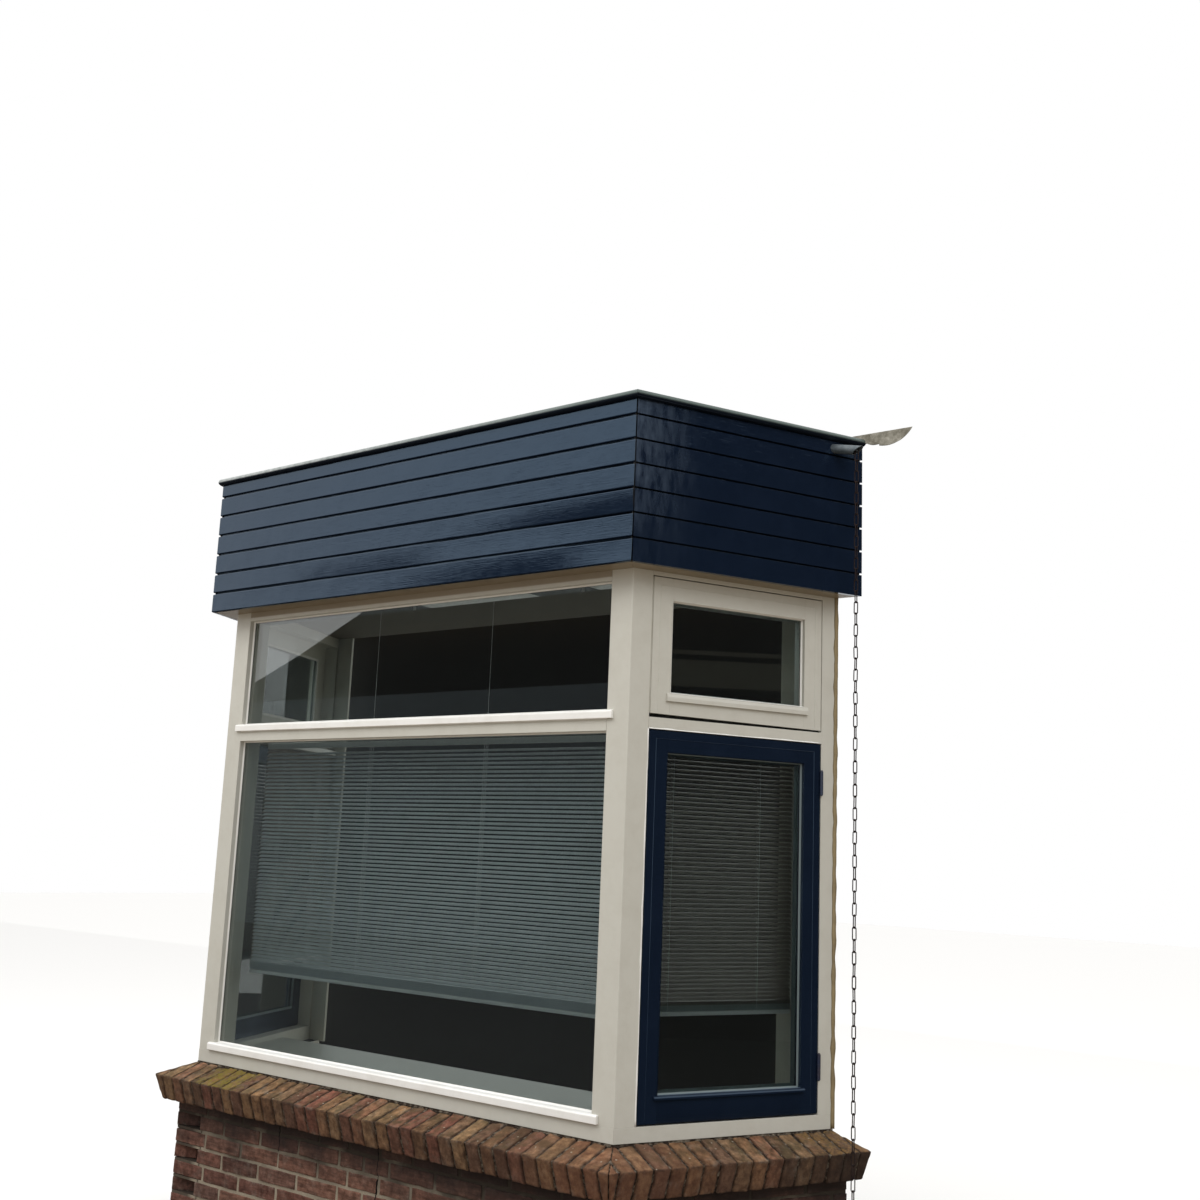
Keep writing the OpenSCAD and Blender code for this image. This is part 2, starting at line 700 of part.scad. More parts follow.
// A lobe between two distances from the middle of the bay, with its lowest point between them
module lobe(start, end, lowest, depth, r) intersection() {
    translate([lowest, lead_top - depth + r]) circle(r = r);
    translate([start, lead_top - depth]) square([end - start, depth]);
}
module lead_flashing() color("#8d9092") {
    translate([0, wall_y, frame_z]) rotate([90, 0, 0]) linear_extrude(lead_t) {
        translate([-flap_start, trim_top + fit_gap])
            square([2 * flap_start, lead_top - trim_top - fit_gap]);
        translate([-lead_w, lead_low]) square([2 * lead_w, lead_top - lead_low]);
        both_sides() {
            lobe(lobe_meet, flap_end, flap_end - outer_lobe_run, outer_lobe_d, outer_lobe_r);
            lobe(flap_start, lobe_meet, lobe_meet - inner_lobe_run, inner_lobe_d, inner_lobe_r);
        }
    }
    apron_w = lead_w - lead_apron / tan(cant);
    translate([-apron_w, wall_y - lead_apron, frame_z + lead_low])
        cube([2 * apron_w, lead_apron, lead_t]);
}

// Rain spout through the right fascia, with an oblique mouth and a pin for the chain

spout_s = side_end(fascia_o) - spout_y / sin(cant);
spout_root = on_side(spout_s, fascia_o);
module spout_place() {
    translate([spout_root[0], spout_root[1], frame_z + spout_z])
        rotate([0, 90 + spout_slope, 0]) children();
}
spout_tail = (fascia_t + kerb_w + membrane_t) / sin(cant) + 12;
mouth_x = spout_len - 2 * spout_r - 4;
pin_x = mouth_x + spout_r - link_r - 2;
module rain_spout() color("#74797c") spout_place() {
    difference() {
        translate([0, 0, -spout_tail]) cylinder(r = spout_r, h = spout_tail + spout_len);
        translate([0, 0, -spout_tail - 1])
            cylinder(r = spout_r - spout_wall, h = spout_tail + spout_len + 2);
        translate([spout_r, 0, mouth_x]) rotate([0, -45, 0])
            translate([0, -far / 20, 0]) cube(far / 10);
    }
    translate([0, 0, pin_x]) rotate([90, 0, 0])
        cylinder(r = link_r, h = 2 * spout_r - spout_wall, center = true);
}

// Rain chain: closed oval links, each turned a quarter from the last

link_pitch = link_l - 4 * link_r - fit_gap;
chain_x = spout_root[0] + pin_x * cos(spout_slope);
chain_top = frame_z + spout_z - pin_x * sin(spout_slope) + 3 * link_r + fit_gap / 2;
link_half = link_l / 2 - link_w / 2;
link_count = floor((chain_top - link_l - 2) / link_pitch) + 1;
module link() {
    bend = link_w / 2 - link_r;
    for (turn = [0, 180]) rotate([0, turn, 0]) {
        translate([0, 0, link_half]) rotate([90, 0, 0])
            rotate_extrude(angle = 180) translate([bend, 0]) circle(r = link_r);
        translate([bend, 0, -link_half]) cylinder(r = link_r, h = 2 * link_half);
    }
}
module rain_chain() color("#4a3a30")
    for (k = [0 : link_count - 1])
        translate([chain_x, spout_root[1],
            chain_top - link_l / 2 - k * link_pitch])
            rotate([0, 0, 90 * (k % 2)]) link();

// Venetian blinds: slats on cords between rails, the head rail held by brackets

module blind_bar(width, z, h)
    translate([-width / 2, -slat_w / 2, z]) cube([width, slat_w, h]);
module blind(width, low, high, head, cord_x) {
    stack_top = low + blind_foot_h + stack_count * stack_pitch;
    slat_count = floor((high - blind_rail_h - stack_top) / slat_pitch);
    blind_bar(width, low, blind_foot_h);
    for (z = [high - blind_rail_h, head - blind_rail_h]) blind_bar(width, z, blind_rail_h);
    for (k = [1 : stack_count])
        blind_bar(width, low + blind_foot_h + k * stack_pitch - slat_t, slat_t);
    for (k = [1 : slat_count])
        translate([0, 0, stack_top + (k - 0.5) * slat_pitch])
            rotate([slat_tilt, 0, 0]) blind_bar(width, -slat_t / 2, slat_t);
    for (x = [-cord_x, cord_x]) {
        translate([x - 1, -1, low + blind_foot_h / 2])
            cube([2, 2, head - low - (blind_foot_h + blind_rail_h) / 2]);
        translate([x - blind_bracket_w / 2, -blind_in, head - blind_rail_h])
            cube([blind_bracket_w, blind_in, blind_rail_h]);
    }
}
blind_mid = frame_t + blind_in;
blind_inner = blind_mid + slat_w;
module front_blind() color("#a9aeb2")
    front_frame() translate([0, blind_mid, 0])
        blind(2 * (corner(-blind_inner)[0] - blind_end_gap), blind_z, front_transom_z,
            frame_h - soffit_t, blind_cord_x);
module right_blind() color("#a9aeb2") side_frame() {
    low_s = mitre_s(-blind_inner) + blind_end_gap;
    high_s = side_end(-blind_inner) - cover_t / sin(cant) - blind_end_gap;
    head = side_transom_z + blind_rail_h / 2;
    translate([(low_s + high_s) / 2, blind_mid, 0])
        blind(high_s - low_s, side_blind_z, head, head, side_cord_x);
}
module left_blind() mirror([1, 0, 0]) right_blind();

front_base_wall();
left_base_wall();
right_base_wall();
base_wall_plaster();
front_brick_sill();
left_brick_sill();
right_brick_sill();
window_board();
bottom_rails();
left_corner_post();
right_corner_post();
left_wall_post();
right_wall_post();
front_transom();
side_transoms();
front_head();
side_heads();
front_lower_pane();
front_upper_pane();
front_glazing_beads();
left_casement();
right_casement();
casement_panes();
left_top_sash();
right_top_sash();
top_sash_panes();
casement_hinges();
soffit_boards();
front_fascia();
left_fascia();
right_fascia();
roof_edge_trim();
roof_framing();
fascia_brackets();
roof_deck();
roof_kerb();
roof_membrane();
lead_flashing();
roof_back_board();
ceiling_board();
rain_spout();
rain_chain();
front_blind();
left_blind();
right_blind();
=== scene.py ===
import math
import random

import bmesh
import bpy
from mathutils import Matrix, Vector, noise


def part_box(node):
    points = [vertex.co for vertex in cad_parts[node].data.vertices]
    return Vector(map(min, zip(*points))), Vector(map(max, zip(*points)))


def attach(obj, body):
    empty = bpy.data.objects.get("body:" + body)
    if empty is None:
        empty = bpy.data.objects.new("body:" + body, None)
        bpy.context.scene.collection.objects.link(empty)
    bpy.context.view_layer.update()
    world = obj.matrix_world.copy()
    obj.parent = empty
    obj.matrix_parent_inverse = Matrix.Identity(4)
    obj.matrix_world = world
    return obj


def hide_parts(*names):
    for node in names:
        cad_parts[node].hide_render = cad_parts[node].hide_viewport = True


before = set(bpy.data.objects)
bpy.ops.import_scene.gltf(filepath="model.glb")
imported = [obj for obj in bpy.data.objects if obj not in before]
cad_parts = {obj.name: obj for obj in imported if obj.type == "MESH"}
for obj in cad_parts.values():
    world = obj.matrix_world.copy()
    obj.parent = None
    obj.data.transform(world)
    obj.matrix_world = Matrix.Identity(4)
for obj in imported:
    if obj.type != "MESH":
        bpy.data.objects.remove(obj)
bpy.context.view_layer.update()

# Camera: held at eye height, in front of the bay and to its right, and tipped up a little.
# The lens sees about 48 degrees, and the frame is square.
camera = bpy.data.objects.new("camera", bpy.data.cameras.new("camera"))
bpy.context.scene.collection.objects.link(camera)
bpy.context.scene.camera = camera
camera.data.sensor_width = 36
camera.data.lens = 40.74
view_right = Vector((0.78996, 0.61190, 0.03940))
view_up = Vector((0.08124, -0.16814, 0.98241))
view_back = Vector((0.60776, -0.77286, -0.18253))
camera.matrix_world = Matrix((view_right, view_up, view_back)).transposed().to_4x4()
camera.matrix_world.translation = Vector((3.7216, -3.8862, 1.6109))
bpy.context.scene.view_settings.view_transform = "Standard"


# Stage: even light, brightest overhead, a pale floor and two large soft lamps. Plain cards that
# only reflections and the glass see give the panes and the gloss paint their darks and dull tints,
# and close the view through the glass with a dark ground: the room card is painted shade, a dark
# sheet that stands in for an unlit room behind the glass.
def srgb(code, alpha=1.0):
    """A hex colour as linear red, green, blue and alpha."""
    parts = [int(code[i:i + 2], 16) / 255 for i in (1, 3, 5)]
    return tuple(c / 12.92 if c <= 0.04045 else ((c + 0.055) / 1.055) ** 2.4 for c in parts) + (alpha,)


def add(tree, kind, inputs=(), **settings):
    """A new node: its settings, then its inputs as values or as the sockets that feed them."""
    node = tree.nodes.new(kind)
    for name, value in settings.items():
        setattr(node, name, value)
    for name, value in dict(inputs).items():
        if isinstance(value, bpy.types.NodeSocket):
            tree.links.new(value, node.inputs[name])
        else:
            node.inputs[name].default_value = value
    return node


world = bpy.data.worlds.new("overcast_sky")
bpy.context.scene.world = world
world.use_nodes = True
sky = world.node_tree
sky.nodes.clear()
rays = add(sky, "ShaderNodeLightPath")
seen = add(sky, "ShaderNodeMath", {0: rays.outputs["Is Camera Ray"], 1: rays.outputs["Is Glossy Ray"]},
           operation="MAXIMUM")
seen = add(sky, "ShaderNodeMath", {0: seen.outputs[0], 1: rays.outputs["Is Transmission Ray"]},
           operation="MAXIMUM")
height = add(sky, "ShaderNodeSeparateXYZ", {0: add(sky, "ShaderNodeTexCoord").outputs["Generated"]})
overhead = add(sky, "ShaderNodeMapRange", {"Value": height.outputs["Z"], "From Min": 0.0, "From Max": 1.0,
                                           "To Min": 0.45, "To Max": 1.45})
above = add(sky, "ShaderNodeMapRange", {"Value": height.outputs["Z"], "From Min": -0.05, "From Max": 0.05})
cover = add(sky, "ShaderNodeMix", {0: above.outputs[0], 6: (0.42, 0.36, 0.29, 1), 7: overhead.outputs[0]},
            data_type="RGBA")
plain = add(sky, "ShaderNodeMix", {0: seen.outputs[0], 6: cover.outputs[2], 7: (1, 1, 1, 1)},
            data_type="RGBA")
background = add(sky, "ShaderNodeBackground", {"Color": plain.outputs[2], "Strength": 1.0})
add(sky, "ShaderNodeOutputWorld", {"Surface": background.outputs[0]})


def mesh_piece(name, vertices, faces, material=None):
    """A mesh object at the origin, linked to the scene."""
    mesh = bpy.data.meshes.new(name)
    mesh.from_pydata([tuple(v) for v in vertices], [], faces)
    if material:
        mesh.materials.append(material)
    piece = bpy.data.objects.new(name, mesh)
    bpy.context.scene.collection.objects.link(piece)
    return piece


def finish_tree(name, **constants):
    """A new material's tree with its Principled shader, whose constant inputs are set."""
    material = bpy.data.materials.new(name)
    material.use_nodes = True
    tree = material.node_tree
    tree.nodes.clear()
    shader = add(tree, "ShaderNodeBsdfPrincipled", {k.replace("_", " "): v for k, v in constants.items()})
    add(tree, "ShaderNodeOutputMaterial", {"Surface": shader.outputs[0]})
    place = add(tree, "ShaderNodeTexCoord").outputs["Object"]
    return material, tree, shader, place


floor_paint = finish_tree("pale_studio_floor", Base_Color=srgb("#f2f1ef"), Roughness=0.9)[0]
floor = mesh_piece("floor", [(-30, -30, 0), (30, -30, 0), (30, 30, 0), (-30, 30, 0)], [(0, 1, 2, 3)],
                   floor_paint)
floor.visible_diffuse = False

dark, grey, brown, black = (
    finish_tree(tone + "_card", Base_Color=srgb(colour), Roughness=1.0)[0]
    for tone, colour in (("dark", "#28292a"), ("grey", "#697279"), ("brown", "#5b5c54"),
                         ("black", "#0c0d0c")))
X, Y, Z = range(3)
for name, axis, level, outline, paint, mirrored in (
        # The room card: painted shade for an unlit room, seen only through the glass.
        ("room_card", Y, 0.56, [(-2.2, 0), (2.2, 0), (2.2, 3.4), (-2.2, 3.4)], dark, False),
        ("street_card", Y, -14, [(-40, 0), (-6, 0), (-6, 6.6), (-11, 6.6), (-11, 6.2), (-15, 6.2),
                                 (-17.4, 5.2), (-25, 2.4), (-40, 2.4)], dark, True),
        ("low_card", Y, -13.9, [(-40, 0), (-6, 0), (-6, 4.3), (-19.3, 4.3), (-25, 2.3), (-40, 2.3)],
         grey, True),
        ("side_card", X, 9, [(-4, 0), (9, 0), (9, 7), (-4, 7)], dark, True),
        ("pale_side_card", X, 8.9, [(-4, 3.14), (9, 3.14), (9, 3.39), (-4, 3.39)], brown, True),
        ("eaves_side_card", X, 8.9, [(-4, 3.44), (9, 3.44), (9, 3.48), (-4, 3.48)], brown, True),
        ("wet_paving_card", Z, 0.02, [(1.6, -2), (9, -2), (9, 9), (1.6, 9)], black, True),
        ("paving_card", Z, 0.01, [(-40, -14), (9, -14), (9, 9), (-40, 9)], dark, True)):
    corners = [corner[:axis] + (level,) + corner[axis:] for corner in outline]
    card = mesh_piece(name, corners, [tuple(range(len(corners)))], paint)
    card.visible_glossy = mirrored
    for ray in ("camera", "diffuse", "volume_scatter", "shadow"):
        setattr(card, "visible_" + ray, False)

for name, spot, size, power in (("sky_lamp", (-2.4, -5.0, 8.0), 6.0, 330),
                                ("fill_lamp", (6.0, -2.5, 7.0), 5.0, 130)):
    lamp = bpy.data.objects.new(name, bpy.data.lights.new(name, "AREA"))
    lamp.data.shape = "DISK"
    lamp.data.size = size
    lamp.data.energy = power
    lamp.location = spot
    lamp.rotation_euler = (Vector(spot) - Vector((0, 0, 1.6))).to_track_quat("Z", "Y").to_euler()
    lamp.visible_glossy = False
    bpy.context.scene.collection.objects.link(lamp)


# Base walls. Red-brown clay stretchers, 210 by 50 mm on the face and 100 deep, in lime mortar. The
# corners aren't square: in turn a brick of the front or of the side runs out to the arris with its
# square end, and leaves a three-sided ledge beside it, painted dark with dirt and shade. Two hairline
# cracks run down the front.
HALF_FRONT = 1.055
FRONT_Y = -0.320
WALL_Y = 0.460
CANT = math.radians(66.3)
FOOT = 0.720
BASE_OUT = 0.052
BASE_DEEP = 0.210
COURSE = 0.0608
JOINT = 0.010
BRICK = (0.210, 0.100, 0.0508)
FIRST_COURSE_TOP = 0.586
ARRIS_BRICK = (0, 0.185)
SET_BACK_BRICK = (0.146, 0.295)
HALF_BOND = 0.99
SECOND_LEAF = 0.108

FACES = {"front": (Vector((0, FRONT_Y, 0)), Vector((1, 0, 0)), Vector((0, -1, 0)))}
for face, side in (("right", 1), ("left", -1)):
    FACES[face] = (Vector((side * HALF_FRONT, FRONT_Y, 0)),
                   Vector((side * math.cos(CANT), math.sin(CANT), 0)),
                   Vector((side * math.sin(CANT), -math.cos(CANT), 0)))


def on_face(face, along, out, up):
    """A point at a distance along a face, outwards from the frame's plane and above the ground.
    The front is measured from its middle, and a side from its corner."""
    origin, run, outward = FACES[face]
    return origin + run * along + outward * out + Vector((0, 0, up))


def face_end(out):
    """Where the front's arris lies at a distance out, from the middle."""
    return HALF_FRONT + out * math.tan(CANT / 2)


def side_start(out):
    """Where a side's arris lies at a distance out, from its corner."""
    return -out * math.tan(CANT / 2)


def side_stop(out):
    """Where a side ends in the bay's rear plane at a distance out, from its corner."""
    return (WALL_Y - FRONT_Y + out * math.cos(CANT)) / math.sin(CANT)


def face_outwards(piece):
    """Turns the faces of a closed piece outwards."""
    bm = bmesh.new()
    bm.from_mesh(piece.data)
    bmesh.ops.recalc_face_normals(bm, faces=bm.faces)
    bm.to_mesh(piece.data)
    bm.free()
    return piece


def prism(name, section, corners, material):
    """A section of (out, up) points run along plan corners, each given as a function of out."""
    rings = [[Vector(corner(out).xy.to_tuple() + (up,)) for out, up in section] for corner in corners]
    size = len(section)
    faces = [tuple(range(size)), tuple(range(size * len(rings) - 1, size * (len(rings) - 1) - 1, -1))]
    for k in range(len(rings) - 1):
        for i in range(size):
            j = (i + 1) % size
            faces.append((k * size + i, (k + 1) * size + i, (k + 1) * size + j, k * size + j))
    return face_outwards(mesh_piece(name, [p for ring in rings for p in ring], faces, material))


U_PLAN = [lambda o: on_face("left", side_stop(o), o, 0), lambda o: on_face("left", side_start(o), o, 0),
          lambda o: on_face("right", side_start(o), o, 0), lambda o: on_face("right", side_stop(o), o, 0)]


def shape_tree(name, inputs):
    """An empty geometry tree with its named inputs, each given with its kind."""
    tree = bpy.data.node_groups.new(name, "GeometryNodeTree")
    for label, kind in (("Geometry", "Geometry"),) + inputs:
        tree.interface.new_socket(label, in_out="INPUT", socket_type="NodeSocket" + kind)
    tree.interface.new_socket("Geometry", in_out="OUTPUT", socket_type="NodeSocketGeometry")
    return tree, add(tree, "NodeGroupInput").outputs


def laid_brick_tree():
    """Geometry nodes that lay one worn brick on each point, turned and sized by the point."""
    tree, given = shape_tree("laid_bricks", (("Brick", "Object"), ("Wear", "Float"), ("Wear Size", "Float"),
                                             ("Seed", "Float"), ("Material", "Material")))
    brick = add(tree, "GeometryNodeObjectInfo", {"Object": given["Brick"]})
    turn = add(tree, "GeometryNodeInputNamedAttribute", {"Name": "turn"}, data_type="FLOAT_VECTOR")
    turn = add(tree, "FunctionNodeEulerToRotation", {"Euler": turn.outputs[0]})
    size = add(tree, "GeometryNodeInputNamedAttribute", {"Name": "size"}, data_type="FLOAT_VECTOR")
    laid = add(tree, "GeometryNodeInstanceOnPoints",
               {"Points": given["Geometry"], "Instance": brick.outputs["Geometry"],
                "Rotation": turn.outputs[0], "Scale": size.outputs[0]})
    solid = add(tree, "GeometryNodeRealizeInstances", {"Geometry": laid.outputs[0]})
    grain = add(tree, "ShaderNodeMath", {0: 1.0, 1: given["Wear Size"]}, operation="DIVIDE")
    rough = add(tree, "ShaderNodeTexNoise", {"W": given["Seed"], "Scale": grain.outputs[0], "Detail": 2.0},
                noise_dimensions="4D")
    wander = add(tree, "ShaderNodeVectorMath", {0: rough.outputs[1], 1: (0.5, 0.5, 0.5)},
                 operation="SUBTRACT")
    wander = add(tree, "ShaderNodeVectorMath", {0: wander.outputs[0], "Scale": given["Wear"]},
                 operation="SCALE")
    worn = add(tree, "GeometryNodeSetPosition", {"Geometry": solid.outputs[0], "Offset": wander.outputs[0]})
    done = add(tree, "GeometryNodeSetMaterial", {"Geometry": worn.outputs[0], "Material": given["Material"]})
    add(tree, "NodeGroupOutput", {"Geometry": done.outputs[0]})
    return tree


def run_nodes(piece, tree, values):
    """Runs a tree on a piece and keeps the result as its plain mesh."""
    modifier = piece.modifiers.new(tree.name, "NODES")
    modifier.node_group = tree
    for item in tree.interface.items_tree:
        if item.in_out == "INPUT" and item.name in values:
            modifier[item.identifier] = values[item.name]
    bpy.context.view_layer.update()
    evaluated = piece.evaluated_get(bpy.context.evaluated_depsgraph_get())
    mesh = bpy.data.meshes.new_from_object(evaluated)
    piece.modifiers.clear()
    piece.data = mesh


RIM = 0.009
CLOSE_LINE = 0.008


def brick_shape(name, size, ease, grid):
    """One brick with eased arrises and closer grid lines near them. Each of its points keeps how near
    the arrises it is, and its place in the brick."""
    bm = bmesh.new()
    bmesh.ops.create_cube(bm, size=1)
    bmesh.ops.scale(bm, vec=size, verts=bm.verts)
    bmesh.ops.bevel(bm, geom=bm.edges[:], offset=ease, segments=2, profile=0.6, affect="EDGES")
    for axis in range(3):
        half = size[axis] / 2
        steps = max(1, round(size[axis] / grid))
        cuts = [half * (2 * k / steps - 1) for k in range(1, steps)] + [CLOSE_LINE - half, half - CLOSE_LINE]
        normal = [float(axis == i) for i in range(3)]
        for cut in cuts:
            bmesh.ops.bisect_plane(bm, geom=bm.verts[:] + bm.edges[:] + bm.faces[:],
                                   plane_co=[cut * n for n in normal], plane_no=normal)
    rim = bm.verts.layers.float.new("rim")
    own = bm.verts.layers.float_vector.new("own")
    for v in bm.verts:
        inside = sorted(size[i] / 2 - abs(v.co[i]) for i in range(3))
        v[rim] = 1 - min(1, inside[1] / RIM)
        v[own] = v.co
    mesh = bpy.data.meshes.new(name)
    bm.to_mesh(mesh)
    bm.free()
    mesh.shade_smooth()
    shape = bpy.data.objects.new(name, mesh)
    bpy.context.scene.collection.objects.link(shape)
    return shape


def brick_places(name, bricks):
    """Points that carry each brick's turn, its size against the shape, and its tone in the fire."""
    piece = mesh_piece(name, [b[0] for b in bricks], [])
    for label, kind, k in (("turn", "FLOAT_VECTOR", 1), ("size", "FLOAT_VECTOR", 2), ("tone", "FLOAT", 3)):
        data = piece.data.attributes.new(label, kind, "POINT").data
        values = [b[k] for b in bricks]
        if kind == "FLOAT":
            data.foreach_set("value", values)
        else:
            data.foreach_set("vector", [x for v in values for x in v])
    return piece


def cut_mesh(piece, planes):
    """Cuts a piece back to each plane, given as a point and the direction that is cut away."""
    bm = bmesh.new()
    bm.from_mesh(piece.data)
    for point, away in planes:
        bmesh.ops.bisect_plane(bm, geom=bm.verts[:] + bm.edges[:] + bm.faces[:], plane_co=point,
                               plane_no=away, clear_outer=True)
        bmesh.ops.holes_fill(bm, edges=[e for e in bm.edges if e.is_boundary], sides=0)
    bm.to_mesh(piece.data)
    bm.free()


def own_bricks(owns_corner, stop):
    """Bricks from the arris on, as (start, end), up to a stop."""
    spans = [ARRIS_BRICK if owns_corner else SET_BACK_BRICK]
    while spans[-1][1] + JOINT < stop:
        start = spans[-1][1] + JOINT
        spans.append((start, start + BRICK[0]))
    return spans


def cells(millimetres):
    """The scale of a pattern whose details have this real size."""
    return 1000 / millimetres


def clay_finish(name, tones, dark, haze, drag, depth, haze_share):
    """Hand-moulded clay, fired: each brick has its own tone, with marks of the mould's drag, sandy grain,
    pits and a haze of lime. The drag's marks are sized along, across and up."""
    material, tree, shader, place = finish_tree(name, Roughness=0.9, Specular_IOR_Level=0.25)
    tone = add(tree, "ShaderNodeAttribute", attribute_name="tone").outputs["Fac"]
    rim = add(tree, "ShaderNodeAttribute", attribute_name="rim").outputs["Fac"]
    own = add(tree, "ShaderNodeAttribute", attribute_name="own").outputs["Vector"]
    ramp = add(tree, "ShaderNodeValToRGB", {"Fac": tone})
    ramp.color_ramp.elements[0].color = srgb(tones[0])
    ramp.color_ramp.elements[1].color = srgb(tones[-1])
    for k, colour in enumerate(tones[1:-1]):
        ramp.color_ramp.elements.new((k + 1) / (len(tones) - 1)).color = srgb(colour)
    cloud = add(tree, "ShaderNodeTexNoise", {"Vector": place, "Scale": cells(26.3), "Detail": 5.0,
                                              "Roughness": 0.62})
    grit = add(tree, "ShaderNodeTexNoise", {"Vector": place, "Scale": cells(2.38), "Detail": 3.0,
                                             "Roughness": 0.7})
    shade = add(tree, "ShaderNodeMapRange", {"Value": cloud.outputs[0], "From Min": 0.3, "From Max": 0.7,
                                             "To Min": 0.0, "To Max": 0.85})
    colour = add(tree, "ShaderNodeMix", {0: shade.outputs[0], 6: ramp.outputs[0], 7: srgb(dark)},
                 data_type="RGBA", blend_type="MULTIPLY")
    along = add(tree, "ShaderNodeMapping", {"Vector": own, "Scale": [cells(mark) for mark in drag]})
    shift = add(tree, "ShaderNodeMath", {0: tone, 1: 91.0}, operation="MULTIPLY")
    marks = add(tree, "ShaderNodeTexNoise", {"Vector": along.outputs[0], "W": shift.outputs[0], "Scale": 1.0,
                                             "Detail": 5.0, "Roughness": 0.7}, noise_dimensions="4D")
    streak = add(tree, "ShaderNodeMapRange", {"Value": marks.outputs[0], "From Min": 0.36, "From Max": 0.64,
                                              "To Min": 1 - depth, "To Max": 1 + depth * 0.75})
    colour = add(tree, "ShaderNodeMix", {0: 1.0, 6: colour.outputs[2], 7: streak.outputs[0]},
                 data_type="RGBA", blend_type="MULTIPLY")
    sand = add(tree, "ShaderNodeMapRange", {"Value": grit.outputs[0], "From Min": 0.35, "From Max": 0.7,
                                            "To Min": 0.72, "To Max": 1.22})
    colour = add(tree, "ShaderNodeMix", {0: 1.0, 6: colour.outputs[2], 7: sand.outputs[0]},
                 data_type="RGBA", blend_type="MULTIPLY")
    smear = add(tree, "ShaderNodeTexNoise", {"Vector": place, "Scale": cells(43.5), "Detail": 6.0,
                                             "Roughness": 0.7})
    smear = add(tree, "ShaderNodeMapRange", {"Value": smear.outputs[0], "From Min": 0.52, "From Max": 0.72,
                                             "To Min": 0.0, "To Max": haze_share})
    edge = add(tree, "ShaderNodeMapRange", {"Value": rim, "To Min": 0.18, "To Max": 0.75})
    smear = add(tree, "ShaderNodeMath", {0: smear.outputs[0], 1: edge.outputs[0]}, operation="MULTIPLY")
    colour = add(tree, "ShaderNodeMix", {0: smear.outputs[0], 6: colour.outputs[2], 7: srgb(haze)},
                 data_type="RGBA")
    pits = add(tree, "ShaderNodeTexNoise", {"Vector": place, "Scale": cells(7.69), "Detail": 4.0,
                                            "Roughness": 0.75})
    height = add(tree, "ShaderNodeMath", {0: pits.outputs[0], 1: 0.7}, operation="MULTIPLY")
    height = add(tree, "ShaderNodeMath", {0: height.outputs[0], 1: grit.outputs[0]}, operation="ADD")
    height = add(tree, "ShaderNodeMath", {0: marks.outputs[0], 1: 1.5, 2: height.outputs[0]},
                 operation="MULTIPLY_ADD")
    bump = add(tree, "ShaderNodeBump", {"Height": height.outputs[0], "Strength": 0.75, "Distance": 0.0022})
    tree.links.new(bump.outputs[0], shader.inputs["Normal"])
    return material, tree, shader, place, colour.outputs[2]


def cracked(tree, place, colour):
    """Two hairline cracks that run down the front of the wall, through bricks and joints alike."""
    shift = add(tree, "ShaderNodeTexNoise", {"Vector": place, "Scale": cells(38.5), "Detail": 3.0})
    shift = add(tree, "ShaderNodeMath", {0: shift.outputs[0], 1: 0.030, 2: -0.015}, operation="MULTIPLY_ADD")
    spot = add(tree, "ShaderNodeSeparateXYZ", {0: place})
    across = add(tree, "ShaderNodeMath", {0: spot.outputs["X"], 1: shift.outputs[0]}, operation="ADD")
    for x, foot in ((0.070, 0.30), (-0.462, 0.47)):
        gap = add(tree, "ShaderNodeMath", {0: across.outputs[0], 1: x, 2: 0.0022}, operation="COMPARE")
        above = add(tree, "ShaderNodeMath", {0: spot.outputs["Z"], 1: foot}, operation="GREATER_THAN")
        gap = add(tree, "ShaderNodeMath", {0: gap.outputs[0], 1: above.outputs[0]}, operation="MULTIPLY")
        colour = add(tree, "ShaderNodeMix", {0: gap.outputs[0], 6: colour, 7: srgb("#171211")},
                     data_type="RGBA").outputs[2]
    return colour


wall_clay, tree, shader, place, colour = clay_finish(
    "fired_clay_stretchers", ["#62473e", "#724f45", "#7c574b", "#835f51", "#8a6657", "#7a5c51", "#6a524a"],
    "#8b7970", "#8f857a", (111, 16.7, 14.3), 0.42, 1.0)
# Soot and painted shade: the upper courses darken towards the sill, in the shade of its overhang.
split = add(tree, "ShaderNodeSeparateXYZ", {0: place})
blot = add(tree, "ShaderNodeTexNoise", {"Vector": place, "Scale": cells(167), "Detail": 4.0})
soot_and_shade = add(tree, "ShaderNodeMath", {0: blot.outputs[0], 1: 0.24, 2: split.outputs["Z"]},
           operation="MULTIPLY_ADD")
soot_and_shade = add(tree, "ShaderNodeMapRange", {"Value": soot_and_shade.outputs[0], "From Min": 0.51, "From Max": 0.68,
                                        "To Min": 0.0, "To Max": 0.92})
colour = add(tree, "ShaderNodeMix", {0: soot_and_shade.outputs[0], 6: colour, 7: srgb("#2c2523")}, data_type="RGBA")
tree.links.new(cracked(tree, place, colour.outputs[2]), shader.inputs["Base Color"])

